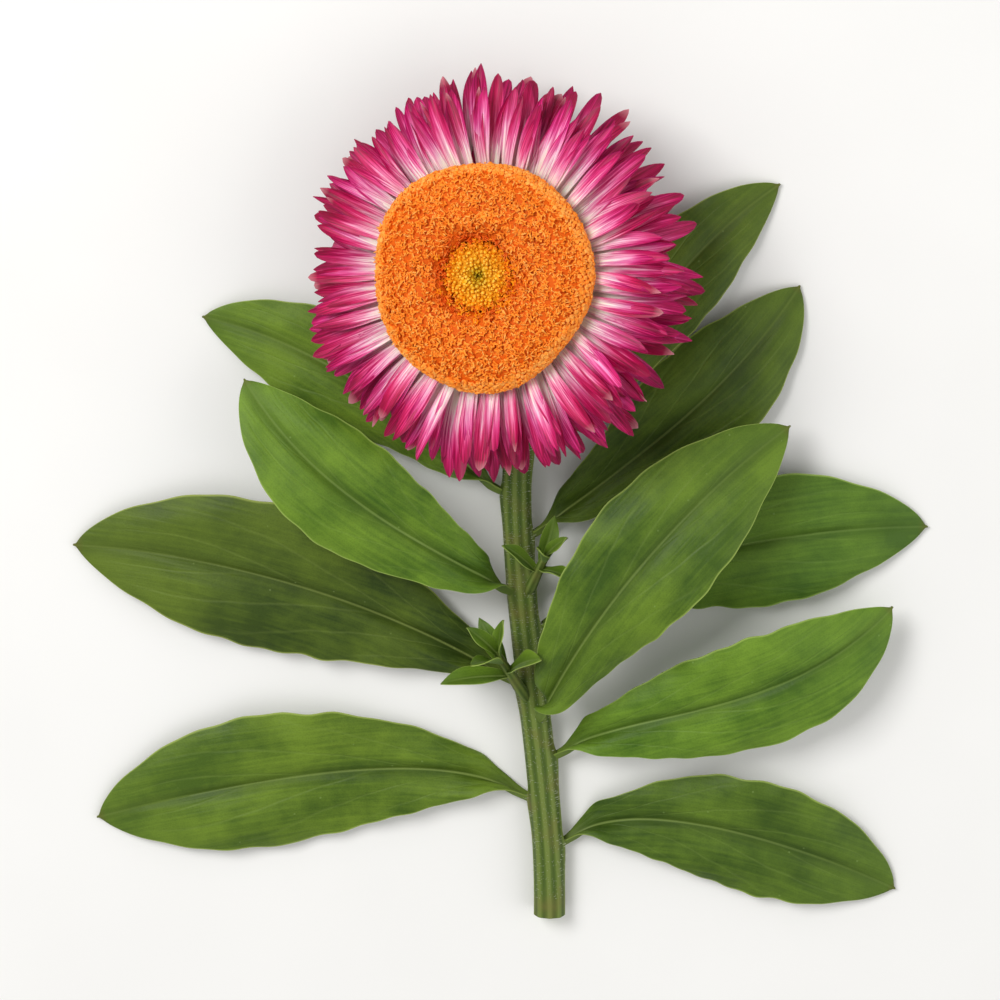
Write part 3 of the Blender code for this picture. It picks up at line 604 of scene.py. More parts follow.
# A whorl's measures run from its first bract's to its last one's: the place on the wall, the angles that
# its line starts and ends at, the length, the width and the foot's share of the width.
INNER_BRACTS = dict(
    count=150, wall=(0.10, 0.90), rise=(26.0, -8.0), droop=(4.0, -34.0), length=(18.5, 23.5),
    width=(3.1, 4.0), foot=(0.54, 0.68),
)
OUTER_BRACTS = dict(
    count=96, wall=(0.06, 0.90), rise=(-14.0, -34.0), droop=(-40.0, -58.0), length=(23.0, 6.5),
    width=(4.2, 3.4), foot=(0.70, 1.05),
)
SLIM_BRACTS = dict(
    count=104, wall=(0.06, 0.62), rise=(26.5, 4.0), droop=(3.0, -25.0), length=(17.0, 22.0),
    width=(1.8, 2.5), foot=(0.55, 0.68),
)
SCALE_BRACTS = dict(
    count=84, wall=(0.05, 0.80), rise=(-4.0, -40.0), droop=(-30.0, -62.0), length=(13.0, 7.0),
    width=(4.6, 4.0), foot=(0.90, 1.05),
)
# What chance adds to or multiplies each bract's angles, length, width and roll by, in this order.
BRACT_CHANCES = ((-1.2, 1.2), (-2.0, 2.0), (-5.0, 5.0), (0.94, 1.05), (0.92, 1.06), (-7.0, 7.0))
BRACT_SINK = 2.0
BRACT_CURL = 15
BRACT_TWIST = 20
BRACT_ROWS = 15
BRACT_EDGES = np.array([-1.0, -0.55, 0.0, 0.55, 1.0])
BRACT_THICK = 0.09
BRACT_CUP = 0.40
BRACT_POINT = 0.06  # half the width of a bract's blunt point
bract_chance = random.Random(11)
more_chance = random.Random(12)
sway_chance = np.random.default_rng(7)


def bract_half_width(u, foot, blunt):
    """A bract's outline as a share of its greatest width.

    It widens from foot to 1 at u = 0.65 and ends as (1 - t^2.3)^blunt, a point at 1 and rounder below.
    """
    end = np.clip((u - 0.6) / 0.4, 0, 1)
    return (foot + (1 - foot) * ease(u / 0.65)) * (1 - end**2.3) ** blunt


def running_sum(direction, steps):
    """Lines that start at 0 and go these steps along a direction that turns, by the trapezium rule."""
    run = np.cumsum((direction[:, 1:] + direction[:, :-1]) / 2 * steps[..., None], axis=1)
    return np.concatenate([0 * direction[:, :1], run], axis=1)


def blade_grid(middle, direction, across, x, lift, thick, move=np.asarray):
    """Blades about their middle lines, with both faces in one ring, moved to where they grow and landed.

    They reach x to each side, are lifted off their plane, and have half their thickness on each face.
    """
    normal = np.cross(across, direction)[:, :, None]
    ground = middle[:, :, None] + across[:, :, None] * x[..., None]
    faces = (ground + normal * (lift + side * thick)[..., None] for side in (1, -1))
    upper, lower = landed(*(move(face) for face in faces))
    return np.concatenate([upper, lower[..., ::-1, :]], axis=-2)


def bract_blades(whorl, wall, chance):
    """Every bract of a whorl, as a grid (bracts, rows, around, xyz), and its facts.

    A bract's direction in the upright plane through the head's axis turns smoothly from rise to
    droop, and its line is the running sum of that direction. Across it the blade rises as |e|^1.5.
    """
    count = whorl["count"]
    share = np.linspace(0, 1, count)
    at = {name: span[0] + np.diff(span) * share for name, span in whorl.items() if name != "count"}
    luck = np.array([[chance.uniform(*span) for span in BRACT_CHANCES] for _ in share]).T
    around_luck, rise_luck, droop_luck, length_luck, width_luck, roll_luck = luck
    around = np.arange(count) * GOLDEN_ANGLE + np.radians(around_luck)
    rise, droop = np.radians(at["rise"] + rise_luck)[:, None], np.radians(at["droop"] + droop_luck)[:, None]
    uneven = 1 + 0.04 * np.sin(7 * around + 2.0) + sway_chance.normal(0, 0.025, count)
    length = (at["length"] * length_luck * uneven)[:, None]
    seat = along_line(wall, line_length(wall) * at["wall"])[:, None]
    out = np.stack([np.cos(around), np.sin(around), 0 * around], -1)[:, None]
    side = np.stack([np.sin(around), -np.cos(around), 0 * around], -1)[:, None]
    up = np.array([0.0, 0.0, 1.0])

    spaced = 1 - (1 - np.linspace(0, 1, BRACT_ROWS)) ** 1.35  # closer together near the tip
    reached = -BRACT_SINK + spaced * (length + BRACT_SINK)
    u = reached / length
    inside = np.clip(u, 0, 1)
    curl = np.radians(sway_chance.normal(0, BRACT_CURL, (count, 1)))
    angle = rise + (droop - rise) * ease((u - 0.15) / 0.8) + curl * np.clip(u - 0.6, 0, 1) ** 1.5 * 3
    direction = out * np.cos(angle)[..., None] + up * np.sin(angle)[..., None]
    start = out * seat[..., :1] + up * seat[..., 1:] - direction[:, :1] * BRACT_SINK
    sway = sway_chance.normal(0, 0.07, (count, 1)) + 0.06 * np.sin(9 * around + 1.0)[:, None]
    sway = side * (sway * length * inside**2)[..., None]
    middle = start + running_sum(direction, np.diff(reached)) + sway
    twist = np.radians(sway_chance.normal(0, BRACT_TWIST, (count, 1)))
    across = turned(side, direction, np.radians(roll_luck)[:, None] + twist * inside)

    e = BRACT_EDGES
    blunt = sway_chance.uniform(0.45, 0.95, (count, 1))
    half = bract_half_width(inside, at["foot"][:, None], blunt) * (at["width"] * width_luck / 2)[:, None]
    half = np.maximum(half, BRACT_POINT)[..., None]
    lift = BRACT_CUP * sway_chance.uniform(0.5, 1.5, (count, 1, 1)) * half * np.abs(e) ** 1.5
    thick = BRACT_THICK * (1 - 0.4 * e * e)
    grid = blade_grid(middle, direction, across, half * e, lift, thick, on_head)
    facts = {"u": u[..., None], "y": reached[..., None], "share": share[:, None, None]}
    facts |= {fact: sway_chance.random((count, 1, 1)) for fact in ("luck", "mark")}
    return grid, facts | over_and_under(e=e, x=half * e)


def bract_material(name, stops, foot_line):
    """Papery bract: dry air-filled cells like tissue paper, with a silky gloss and fine lengthwise streaks.

    The stops give the colour from foot to tip. Thin brownish lines mark the edges near the foot.
    """
    material = new_material(
        name, IOR=1.45, Specular_IOR_Level=0.25, Subsurface_Weight=0.35, Subsurface_Scale=MM,
        Subsurface_Radius=(1.2, 0.5, 0.6),
    )
    # Streaks are 0.24 mm wide and 8 mm long, broad ones 1.2 and 10 mm. Each bract has a slice of its own.
    where = add_node(material, "CombineXYZ", {0: "x", 1: "y", 2: "luck"})
    drawn = [
        add_node(material, "Mapping", {"Vector": where, "Scale": scale})
        for scale in ((4.2, 0.13, 60.0), (0.8, 0.10, 60.0))
    ]
    streaks = add_node(material, "TexNoise", {"Vector": drawn[0], "Scale": 1.0, "Detail": 3})
    broad = add_node(material, "TexNoise", {"Vector": drawn[1], "Scale": 1.0, "Detail": 2})
    # They carry the tip's colour further down in some places than in others, and white reaches
    # furthest along the middle of a bract.
    place = combined(material, "ADD", "u", [
        (broad, 0.25, 0.75, -0.13, 0.13), ("mark", 0.0, 1.0, -0.07, 0.09),
        (streaks, 0.3, 0.7, -0.15, 0.15),
    ])
    margin = add_node(material, "Math", {0: "e", 1: "e"}, operation="MULTIPLY")
    place = add_node(material, "Math", {0: margin, 1: 0.10, 2: place}, operation="MULTIPLY_ADD")
    colour = add_node(material, "ValToRGB", {0: place}, stops=stops)
    # Bracts further out in a whorl are deeper in colour, and are darkened further as painted shade where they
    # lie lower, under the ones above.
    value = combined(material, "MULTIPLY", 1.0, [
        ("luck", 0.0, 1.0, 0.90, 1.10), (streaks, 0.3, 0.7, 1.20, 0.82),
        ("share", 0.0, 1.0, 1.06, 0.80),
    ])
    hue = add_node(material, "MapRange", {0: "mark", 3: 0.492, 4: 0.505})
    colour = add_node(material, "HueSaturation", {"Hue": hue, "Value": value, "Color": colour})
    edge = add_node(material, "Math", {0: "e"}, operation="ABSOLUTE")
    rim = combined(material, "MULTIPLY", 1.0, [
        (edge, 0.84, 1.0, 0.0, foot_line), ("u", 0.22, 0.62, 1.0, 0.0), ("under", 0.0, 1.0, 1.0, 0.0),
    ])
    # One bract in eight has a dry pale point.
    dry = add_node(material, "Math", {0: "mark", 1: 0.875}, operation="GREATER_THAN")
    dry = combined(material, "MULTIPLY", dry, [("u", 0.90, 1.0, 0.0, 0.5)])
    colour = tinted(material, colour, [
        (rim, 0.0, 1.0, 0.0, 1.0, "#7A4C3C"), ("under", 0.0, 1.0, 0.0, 0.2, "#C06A88"),
        (dry, 0.0, 1.0, 0.0, 1.0, "#DFA0A4"),
    ])
    gloss = add_node(material, "MapRange", {0: streaks, 1: 0.3, 2: 0.7, 3: 0.50, 4: 0.34})
    bump = add_node(material, "Bump", {"Height": streaks, "Strength": 0.7, "Distance": 0.10 * MM})
    return dress(material, Base_Color=colour, Roughness=gloss, Normal=bump)


inner_paper = bract_material(
    "inner_bract_paper",
    [
        (0.0, "#F8E2C4"), (0.20, "#FFF0E0"), (0.33, "#FFE0DE"), (0.42, "#F8BCCE"), (0.54, "#EC83AA"),
        (0.67, "#D8407F"), (0.81, "#BC1459"), (0.93, "#A20848"), (1.0, "#8C063C"),
    ],
    0.5,
)
outer_paper = bract_material(
    "outer_bract_paper",
    [
        (0.0, "#D8B8A8"), (0.2, "#EBA9BA"), (0.34, "#DA608D"), (0.48, "#C02562"), (0.64, "#A80E4A"),
        (0.85, "#90083A"), (1.0, "#74062C"),
    ],
    0.35,
)
for name, whorl, wall, chance, paper, nodes in (
    ("inner_bract", INNER_BRACTS, UPPER_RECEPTACLE, bract_chance, inner_paper, ["inner_bracts"]),
    ("outer_bract", OUTER_BRACTS, LOWER_RECEPTACLE, bract_chance, outer_paper, ["outer_bracts"]),
    ("slim_bract", SLIM_BRACTS, UPPER_RECEPTACLE, more_chance, inner_paper, []),
    ("scale_bract", SCALE_BRACTS, SCALE_WALL, more_chance, outer_paper, []),
):
    grid, facts = bract_blades(whorl, wall, chance)
    slot = "inner_bract" if paper == inner_paper else "outer_bract"
    add_tube(f"{name}_blades", grid, paper, slot, facts, nodes=nodes)

# The receptacle
# The fleshy seat of the head, a low funnel from the stem to the florets. It shows, straw-coloured to
# dull pink, between the feet of the bracts and the florets.
RECEPTACLE = np.array([
    (16.4, 0.6), (16.9, 0.1), (16.9, -2.4), (16.4, -5.0), (15.9, -5.6), (14.7, -7.8), (12.0, -10.1),
    (8.2, -12.1), (4.6, -13.3), (3.2, -13.9),
])
RECEPTACLE_ROWS = 60
RECEPTACLE_AROUND = 96
RECEPTACLE_ROUNDING = 1.2


def rounded(profile, samples, reach):
    """An outline resampled evenly, with its corners averaged over a length of reach."""
    distances = np.linspace(0, line_length(profile), samples)
    spread = np.linspace(-reach / 2, reach / 2, 9)
    near = np.clip(distances[:, None] + spread, 0, distances[-1])
    points = np.stack([along_line(profile, row) for row in near.T]).mean(axis=0)
    points[0], points[-1] = profile[0], profile[-1]
    return points


def turned_body(profile, around):
    """A profile of (radius, height) carried round Z: each point becomes r cos a, r sin a, z."""
    angle = np.linspace(0, 2 * math.pi, around, endpoint=False)
    radius, height = profile[:, None, 0], profile[:, None, 1]
    return np.stack([radius * np.cos(angle), radius * np.sin(angle), height + 0 * angle], -1)


def receptacle_material():
    """Spongy flesh: matt, straw-coloured to dull pink where light never reached it, in a 1.4 mm mottle."""
    material = new_material("receptacle_flesh", Roughness=0.6, IOR=1.4)
    place = add_node(material, "TexCoord", {}, "Object")
    mottle = add_node(material, "TexNoise", {"Vector": place, "Scale": 700, "Detail": 4})
    colour = add_node(
        material, "ValToRGB", {0: mottle}, stops=[(0.3, "#8A5A5A"), (0.55, "#B08A78"), (0.75, "#CDB79A")]
    )
    bump = add_node(material, "Bump", {"Height": mottle, "Strength": 0.5, "Distance": 0.2 * MM})
    return dress(material, Base_Color=colour, Normal=bump)


receptacle = rounded(RECEPTACLE[::-1], RECEPTACLE_ROWS, RECEPTACLE_ROUNDING)
receptacle = on_head(turned_body(receptacle, RECEPTACLE_AROUND))
add_tube("receptacle_body", receptacle[None], receptacle_material(), "inner_bract", {})

# The pad of open florets
# About 800 tiny orange tubes, each with five lobes rolled back at its mouth, packed at the golden angle
# on a thick cushion with a shallow crater, and 1,300 small old ones round its rim. Dark red shows between.
PAD_OUTLINE = np.array([
    (7.4, 8.1), (9.2, 9.3), (12.8, 9.8), (17.0, 9.1), (20.0, 7.4), (21.6, 5.0), (21.3, 3.1), (19.4, 1.9)
])
PAD_PIT = np.array([(6.5, 3.0), (6.8, 6.4)])
PAD_FOOT = np.array([(16.7, 0.4)])
PAD_RADIUS = 21.6
PAD_ROUNDING = 2.0
PAD_WOBBLE = 0.022
PAD_ROWS = 70
PAD_AROUND = 120
PAD_LIP = np.array([(5.5, 7.35), (6.6, 7.15)])  # where florets grow inside the crater
PAD_CORE_SINK = 0.32  # how far the florets stand out of the cushion
FLORETS = 1400
FLORET_SIZE = 0.62
FLORET_JITTER = 0.2
# A floret's rings, from its foot up its outside and down into its throat, as (radius and height at a
# lobe, radius and height between lobes, how high the ring counts for its colour). The mouth is at 0.
FLORET_LOBES = 5
FLORET_RINGS = np.array([
    (0.45, -1.8, 0.45, -1.8, 0.2), (0.85, -0.25, 0.66, -0.3, 0.45), (1.36, 0.08, 0.70, -0.02, 0.85),
    (1.04, 0.42, 0.54, 0.14, 0.75), (0.28, 0.0, 0.28, 0.0, 0.3),
])
RIM_FLORETS = 1300
RIM_SIZE = 0.44
CRATER_EDGE = 0.10
OLD_START = 0.62  # from here outwards the florets get old, over the next OLD_SPAN
OLD_SPAN = 0.3
RIM_START = 0.68  # where the old florets of the rim begin, from the lip at 0 to the pad's foot at 1
RIM_RINGS = np.array([
    (0.5, -1.6, 0.5, -1.6, 0.2), (1.20, -0.1, 0.95, -0.15, 0.6), (0.95, 0.30, 0.80, 0.20, 0.9),
    (0.30, 0.28, 0.25, 0.24, 0.7),
])
STYLE_LENGTH = (0.4, 0.8)
STYLE_RADIUS = 0.21
floret_chance = np.random.default_rng(21)


def wobbled(points):
    """Pushes the pad's rim in and out by two slow waves, and leaves its middle round."""
    radius = np.hypot(points[..., 0], points[..., 1])
    angle = np.arctan2(points[..., 1], points[..., 0])
    wave = np.sin(3 * angle + 0.6) + 0.6 * np.sin(5 * angle + 2.0)
    grown = 1 + PAD_WOBBLE * wave * np.maximum(2 * radius / PAD_RADIUS - 1, 0)
    return points * np.stack([grown, grown, 1 + 0 * grown], -1)


def packed_places(outline, count, chance):
    """Places on a turned surface at the golden angle, each with the same share of its area.

    Returns the place along the outline from 0 to 1, the point there and the way out of the surface.
    """
    reach = line_length(outline)
    fine = np.linspace(0, reach, 600)
    area = np.concatenate([[0.0], np.cumsum(along_line(outline, fine)[1:, 0])])
    spots = (np.arange(count) + 0.5 + chance.uniform(-0.3, 0.3, count)) / count
    s = np.interp(spots, area / area[-1], fine)
    here = along_line(outline, s)
    tangent = unit(along_line(outline, s + 0.5) - along_line(outline, s - 0.5))
    angle = np.arange(count) * GOLDEN_ANGLE
    cosine, sine = np.cos(angle), np.sin(angle)
    points = np.stack([here[:, 0] * cosine, here[:, 0] * sine, here[:, 1]], -1)
    outward = np.stack([-tangent[:, 1] * cosine, -tangent[:, 1] * sine, tangent[:, 0]], -1)
    return s / reach, points, outward


def star_rings(rings):
    """A small body from rings that swing between two radii and heights, once for each lobe."""
    corner = np.arange(2 * FLORET_LOBES)
    angle = corner * math.pi / FLORET_LOBES
    radius = np.where(corner % 2 == 0, rings[:, 0:1], rings[:, 2:3])
    height = np.where(corner % 2 == 0, rings[:, 1:2], rings[:, 3:4])
    return np.stack([radius * np.cos(angle), radius * np.sin(angle), height], -1)


def strewn(body, feet, outward, sizes, tilt, chance):
    """Copies of a small body at these feet, each spun at random about its own way out, which is tilted.

    Every point also strays by a little, so that no two copies are alike.
    """
    count = len(feet)
    outward = unit(outward + chance.normal(0, tilt, (count, 3)))
    aside = unit(np.cross(outward, np.array([0.37, 0.61, 0.70])))
    across = np.cross(outward, aside)
    spin = chance.uniform(0, 2 * math.pi, count)[:, None]
    first = aside * np.cos(spin) + across * np.sin(spin)
    second = np.cross(outward, first)
    frames = np.stack([first, second, outward], axis=1) * sizes[:, None, None]
    placed = feet[:, None, None] + np.einsum("rkj,nji->nrki", body, frames)
    return placed + chance.normal(0, 0.09, placed.shape) * sizes[:, None, None, None]


def add_florets(name, rings, feet, outward, sizes, tilt, zone, faded, material, slot, nodes=()):
    """Strews florets over the head and gives them facts for their colours: height, luck and zone.

    A faded floret is as light in its throat as at its lobes.
    """
    grid = strewn(star_rings(rings), on_head(feet), outward @ HEAD_TURN.T, sizes, tilt, floret_chance)
    zone, faded = np.reshape(zone, (-1, 1, 1)), np.reshape(faded, (-1, 1, 1))
    height = rings[:, 4:] + faded * (1 - rings[:, 4:])
    facts = {"height": height, "luck": floret_chance.random((len(feet), 1, 1)), "zone": zone}
    add_tube(name, grid, material, slot, facts, nodes=nodes, sharp=70)


def floret_material(name, stops, crater):
    """Floret: soft matt petal tissue. Its throat and sides are deep red-orange, its lobes bright, and
    the throat and lowest rings are darkened further as painted shade between the florets.

    The crater's stops are what the colour is multiplied by, from the middle of the pad to its foot.
    """
    material = new_material(name, Roughness=0.62, IOR=1.4, Specular_IOR_Level=0.15)
    place = add_node(material, "TexCoord", {}, "Object")
    # Clouds are 4.5 mm wide.
    clouds = add_node(material, "TexNoise", {"Vector": place, "Scale": 220, "Detail": 2})
    level = combined(material, "ADD", "height", [("luck", 0.0, 1.0, -0.12, 0.12)])
    zone = combined(material, "ADD", "zone", [(clouds, 0.3, 0.7, -0.06, 0.06)])
    colour = add_node(material, "ValToRGB", {0: level}, stops=stops)
    shade = add_node(material, "ValToRGB", {0: zone}, stops=crater)
    colour = add_node(
        material, "Mix", {0: 1.0, 6: colour, 7: shade}, 2, data_type="RGBA", blend_type="MULTIPLY"
    )
    return dress(material, Base_Color=colour)


orange = floret_material(
    "orange_floret_tissue",
    # The low end of these stops, at the throat and foot, is partly painted shade between the florets.
    [(0.0, "#943404"), (0.3, "#D9600E"), (0.6, "#F88A24"), (0.85, "#FF9E3A"), (1.0, "#FFB45A")],
    # The darker stops at 0.05 to 0.10 are painted shade on the crater's wall.
    [(0.0, "#FFE0A0"), (0.05, "#F4B48E"), (0.10, "#E49A7C"), (0.20, "#FFFFFF"), (0.9, "#FFFAF0")],
)
core_outline = rounded(PAD_OUTLINE, PAD_ROWS, PAD_ROUNDING)
core_tangent = unit(np.gradient(core_outline, axis=0))
core_outline = core_outline - np.stack([-core_tangent[:, 1], core_tangent[:, 0]], -1) * PAD_CORE_SINK
core = turned_body(np.concatenate([PAD_PIT, core_outline, PAD_FOOT])[::-1], PAD_AROUND)
core = on_head(wobbled(core))
core_facts = {"height": 0.3, "luck": 0.5, "zone": 0.4}
add_tube("floret_cushion", core[None], orange, "floret", core_facts)

pad_face = rounded(np.concatenate([PAD_LIP, PAD_OUTLINE]), 200, PAD_ROUNDING)
zone, feet, outward = packed_places(pad_face, FLORETS, floret_chance)
old = ease((zone - OLD_START) / OLD_SPAN)  # florets near the rim are old, flat and even
feet = wobbled(feet) + floret_chance.normal(0, FLORET_JITTER, (FLORETS, 3)) * (1 - 0.5 * old)[:, None]
sizes = FLORET_SIZE * floret_chance.uniform(0.8, 1.2, FLORETS) * (1 + 0.12 * old)
# The crater's yellow florets reach further out towards +X and -Y. This leaves the dark ring of painted shade
# only on the crater's wall towards -X and +Y, which faces away from the key light.
lit_side_crater_reach = 0.03 * (feet[:, 0] - feet[:, 1]) / np.hypot(feet[:, 0], feet[:, 1])
in_crater = zone + floret_chance.normal(0, 0.025, FLORETS) < CRATER_EDGE + lit_side_crater_reach
outer = ~in_crater & (zone < RIM_START + 0.04 + floret_chance.normal(0, 0.02, FLORETS))
add_florets(
    "open_florets", FLORET_RINGS, feet[outer], outward[outer], sizes[outer], 0.3, zone[outer],
    0.85 * old[outer], orange, "floret", ["disc_florets"],
)

# The oldest florets, at the rim, are small, flat and closed, and make it as even as velvet.
rim_zone, rim_feet, rim_outward = packed_places(
    pad_face[int(RIM_START * len(pad_face)) :], RIM_FLORETS, floret_chance
)
rim_feet = wobbled(rim_feet) + floret_chance.normal(0, 0.08, (RIM_FLORETS, 3))
rim_sizes = RIM_SIZE * floret_chance.uniform(0.85, 1.2, RIM_FLORETS)
rim_zone = RIM_START + (1 - RIM_START) * rim_zone
add_florets("rim_florets", RIM_RINGS, rim_feet, rim_outward, rim_sizes, 0.18, rim_zone, 0.5, orange, "floret")

# Two curling style arms stick out of each floret's mouth, except in the old ones at the rim.
style_feet = np.repeat(feet, 2, axis=0)
style_out = np.repeat(outward, 2, axis=0)
style_curl = floret_chance.normal(0, 0.6, (2 * FLORETS, 3))
style_lengths = floret_chance.uniform(*STYLE_LENGTH, 2 * FLORETS) * (1 - 0.9 * np.repeat(old, 2))
style_out = unit(style_out + 1.1 * style_curl)
styles = spikes(on_head(style_feet), style_out @ HEAD_TURN.T, style_lengths, STYLE_RADIUS, 3, style_curl)
style_facts = {
    "height": np.repeat([0.5, 0.6, 0.8, 0.95, 1.0], [1, 3, 3, 3, 1]),
    "luck": floret_chance.random((2 * FLORETS, 1)),
    "zone": np.repeat(zone, 2)[:, None],
}
style_faces = tube_faces(3, 3, 2 * FLORETS)
add_piece("floret_styles", styles, style_faces, orange, "floret", style_facts, sharp=180)

# The young florets
# Closed buds in the middle of the head, yellow with green in a dark little pit at the very centre.
BUTTON_OUTLINE = np.array([(0.05, 6.4), (1.0, 7.0), (2.4, 7.6), (4.6, 7.6), (6.2, 7.0), (6.5, 4.5)])
BUTTON_CORE_SINK = 0.35
BUTTON_ROUNDING = 1.0
BUTTON_ROWS = 60
BUTTON_AROUND = 60
YOUNG_FLORETS = 380
YOUNG_SIZE = 0.42
YOUNG_RINGS = np.array([
    (0.55, -2.0, 0.55, -2.0, 0.2), (0.78, -0.2, 0.72, -0.2, 0.45), (0.66, 0.5, 0.52, 0.45, 0.7),
    (0.22, 0.95, 0.16, 0.9, 1.0),
])
yellow = floret_material(
    "yellow_floret_tissue",
    [(0.0, "#C07808"), (0.4, "#E9A318"), (0.7, "#FBBC2E"), (1.0, "#FFD966")],
    [
        (0.0, "#3A4420"), (0.06, "#7C8A40"), (0.18, "#D8DE88"), (0.36, "#FFFFF0"), (0.7, "#FFE8A8"),
        (1.0, "#FFBC74"),
    ],
)
button_outline = rounded(BUTTON_OUTLINE, BUTTON_ROWS, BUTTON_ROUNDING)
button_core = turned_body(button_outline[::-1] - np.array([0.0, BUTTON_CORE_SINK]), BUTTON_AROUND)
button_facts = {"height": 0.3, "luck": 0.5, "zone": np.linspace(1, 0, BUTTON_ROWS)[:, None]}
add_tube("button_cushion", on_head(button_core)[None], yellow, "young_floret", button_facts)

young_zone, young_feet, young_outward = packed_places(button_outline[:50], YOUNG_FLORETS, floret_chance)
young_feet = young_feet + floret_chance.normal(0, 0.17, (YOUNG_FLORETS, 3))
young_sizes = YOUNG_SIZE * floret_chance.uniform(0.6, 1.35, YOUNG_FLORETS)
add_florets(
    "floret_buds", YOUNG_RINGS, young_feet, young_outward, young_sizes, 0.25, young_zone, 0.0, yellow,
    "young_floret", ["young_florets"],
)
add_florets(
    "opening_florets", FLORET_RINGS, feet[in_crater], outward[in_crater], sizes[in_crater] * 0.9, 0.3, 0.9,
    0.0, yellow, "young_floret",
)

# The side shoots
# Two young shoots in the angles of leaves: a short stalk with a tuft of narrow light green blades.
SHOOTS = [dict(lean=36, length=13, blades=6, blade=14), dict(lean=40, length=9, blades=5, blade=11)]
SHOOT_TONE = 1.35  # lighter than any leaf
SHOOT_ROWS = 22
SHOOT_HALF_COLUMNS = 5
SHOOT_SINK = 0.05  # how far a blade's foot goes into the stalk, as a share of its length
SHOOT_THICK = 0.2
STALK_START = -4.4  # inside the stem
STALK_RADII = (0.5, 1.2, 1.2, 0.8)  # at its start, 1 mm below its foot, at its foot and at its top
STALK_ROWS = 20
STALK_AROUND = 24


def shoot_blades(shoot, growing, sideways, root):
    """The blades of a shoot, as a grid and its facts: each leaves the stalk steeply and arches outwards.

    A blade's line turns smoothly from its rise to its droop, its half width is sin(pi u^1.25)^0.9 of
    the greatest, and it is folded along its middle.
    """
    count = shoot["blades"]
    share = (np.arange(count)[:, None] + 1) / count
    length = shoot["blade"] * (1 - 0.2 * share)
    length = length * np.array([[bract_chance.uniform(0.9, 1.1)] for _ in share])
    rise, droop = (np.radians(first + (last - first) * share) for first, last in ((62.0, 12.0), (80.0, 24.0)))
    around = turned(sideways, growing, np.arange(count) * GOLDEN_ANGLE)[:, None]
    side = unit(np.cross(growing, around))
    u = np.linspace(-SHOOT_SINK, 1, SHOOT_ROWS)[None]
    inside = np.clip(u, 0, 1)
    angle = rise + (droop - rise) * ease((u - 0.2) / 0.7)
    direction = growing * np.cos(angle)[..., None] + around * np.sin(angle)[..., None]
    start = root + growing * (shoot["length"] * (0.25 + 0.70 * share))[..., None]
    start = start - direction[:, :1] * length[..., None] * SHOOT_SINK
    middle = start + running_sum(direction, length * (1 + SHOOT_SINK) / (SHOOT_ROWS - 1))

    e = np.linspace(-1, 1, 2 * SHOOT_HALF_COLUMNS + 1)
    half = length * 0.16 * np.sin(math.pi * inside**1.25) ** 0.9 + 0.55 * (1 - inside) ** 2
    half = np.maximum(half, 0.07)[..., None]
    fold = half * np.abs(e) ** 1.4 * (0.55 - 0.3 * inside[..., None])
    wave = 0.25 * e * e * np.sin(9 * u + 5 * share)[..., None]
    grid = blade_grid(middle, direction, -side, half * e, fold + wave, SHOOT_THICK * (1 - 0.5 * e * e))
    facts = {"u": u[..., None], "y": 0.0, "veins": 0.5, "reach": 0.0}
    return grid, facts | over_and_under(e=e, x=half * e)


shoot_green = leaf_material("young_shoot_green", SHOOT_TONE)
for number, (shoot, seat) in enumerate(zip(SHOOTS, SHOOT_SEATS), start=1):
    centre, axis, outward, radius = stem_seat(*seat)
    lean = math.radians(shoot["lean"])
    growing = axis * math.cos(lean) + outward * math.sin(lean)
    root = centre + outward * (radius + 0.3 + STALK_RADII[1])
    sideways = np.array(Vector(growing).to_track_quat("Z", "Y").to_matrix())[:, 0]
    blades, facts = shoot_blades(shoot, growing, sideways, root)
    add_tube(f"shoot_blades_{number}", blades, shoot_green, "shoot", facts, nodes=[f"side_shoot_{number}"])
    top = shoot["length"]
    steps = np.linspace(STALK_START, top + 0.4, STALK_ROWS)
    thick = np.interp(steps, [STALK_START, -1.0, 0.0, top], STALK_RADII)
    thick = (thick * np.sqrt(np.clip((top + 0.5 - steps) / 0.9, 0.02, 1)))[:, None, None]
    angle = np.linspace(0, 2 * math.pi, STALK_AROUND, endpoint=False)[:, None]
    second = np.cross(growing, sideways)
    circle = sideways * np.cos(angle) + second * np.sin(angle)
    stalk = root + growing * steps[:, None, None] + thick * circle
    stalk_facts = {"ridge": 0.5 + 0.5 * np.cos(6 * angle[:, 0]), "share": 0.6, "cut": ON_SKIN}
    add_tube(f"shoot_stalk_{number}", stalk[None], stem_skin, "shoot", stalk_facts)

# The surface, the light and the camera
# A pale matt table, one large soft light from the upper left, a weaker one from the right, and a
# camera that looks down on the flower with the head at the top of the picture.
TABLE_SIDE = 3.0
CAMERA_TILT = math.radians(17)  # from straight down, towards the head
CAMERA_DISTANCE = 0.95
CAMERA_AIM = Vector((0.0, 0.001, 0.008))
PICTURE_WIDTH = 0.196  # what the picture spans at the aim

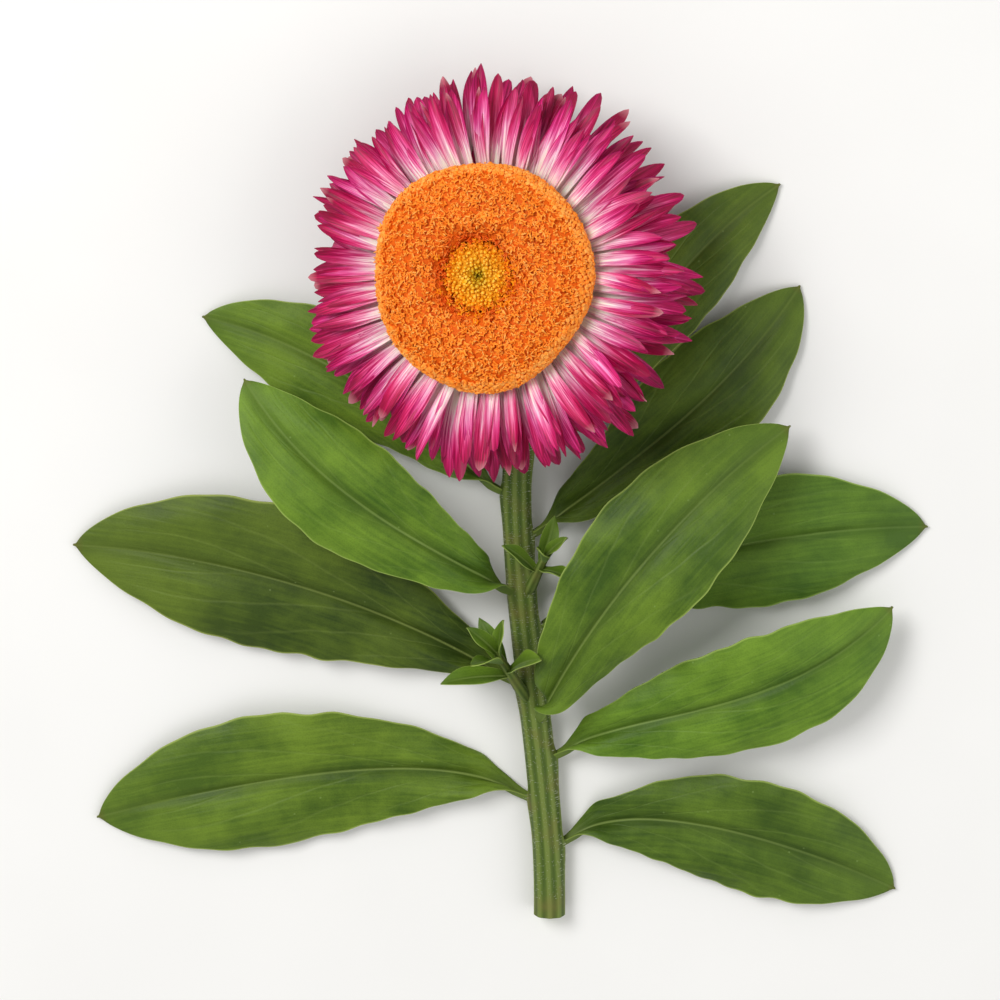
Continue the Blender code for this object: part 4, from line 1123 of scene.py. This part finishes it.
table_mesh = bpy.data.meshes.new("table")
corners = np.array([(-1, -1, 0), (1, -1, 0), (1, 1, 0), (-1, 1, 0)]) * (TABLE_SIDE / 2)
table_mesh.from_pydata(corners, [], [(0, 1, 2, 3)])
table = bpy.data.objects.new("table", table_mesh)
bpy.context.scene.collection.objects.link(table)
# Matt emulsion paint, with a tint that drifts over 40 mm.
table_paint = new_material("pale_matt_table", Roughness=0.9)
table_place = add_node(table_paint, "TexCoord", {}, "Object")
table_grain = add_node(table_paint, "TexNoise", {"Vector": table_place, "Scale": 25})
table_tint = add_node(
    table_paint, "ValToRGB", {0: table_grain}, stops=[(0.0, "#ECEBE8"), (1.0, "#F2F1EE")]
)
table_mesh.materials.append(dress(table_paint, Base_Color=table_tint))


def add_softbox(name, place, size, watts):
    """A square area light that faces the flower."""
    light = bpy.data.lights.new(name, "AREA")
    light.size = size
    light.energy = watts
    lamp = bpy.data.objects.new(name, light)
    lamp.location = place
    lamp.rotation_euler = (CAMERA_AIM - Vector(place)).to_track_quat("-Z", "Y").to_euler()
    bpy.context.scene.collection.objects.link(lamp)


add_softbox("key_light", (-0.45, 0.50, 0.80), 0.45, 7.0)
add_softbox("fill_light", (0.75, -0.15, 0.60), 0.80, 2.2)

world = bpy.data.worlds.new("soft_studio")
world.use_nodes = True
world.node_tree.nodes["Background"].inputs["Color"].default_value = (1.0, 1.0, 1.0, 1.0)
world.node_tree.nodes["Background"].inputs["Strength"].default_value = 0.55
bpy.context.scene.world = world

lens = bpy.data.cameras.new("camera")
lens.sensor_width = 36
lens.lens = lens.sensor_width * CAMERA_DISTANCE / PICTURE_WIDTH
camera = bpy.data.objects.new("camera", lens)
looking_back = Vector((0.0, math.sin(CAMERA_TILT), math.cos(CAMERA_TILT)))
camera.location = CAMERA_AIM + looking_back * CAMERA_DISTANCE
picture_up = Vector((0.0, math.cos(CAMERA_TILT), -math.sin(CAMERA_TILT)))
turn = Matrix((picture_up.cross(looking_back), picture_up, looking_back)).transposed()
camera.rotation_euler = turn.to_euler()
bpy.context.scene.collection.objects.link(camera)
bpy.context.scene.camera = camera
bpy.context.scene.view_settings.view_transform = "Standard"
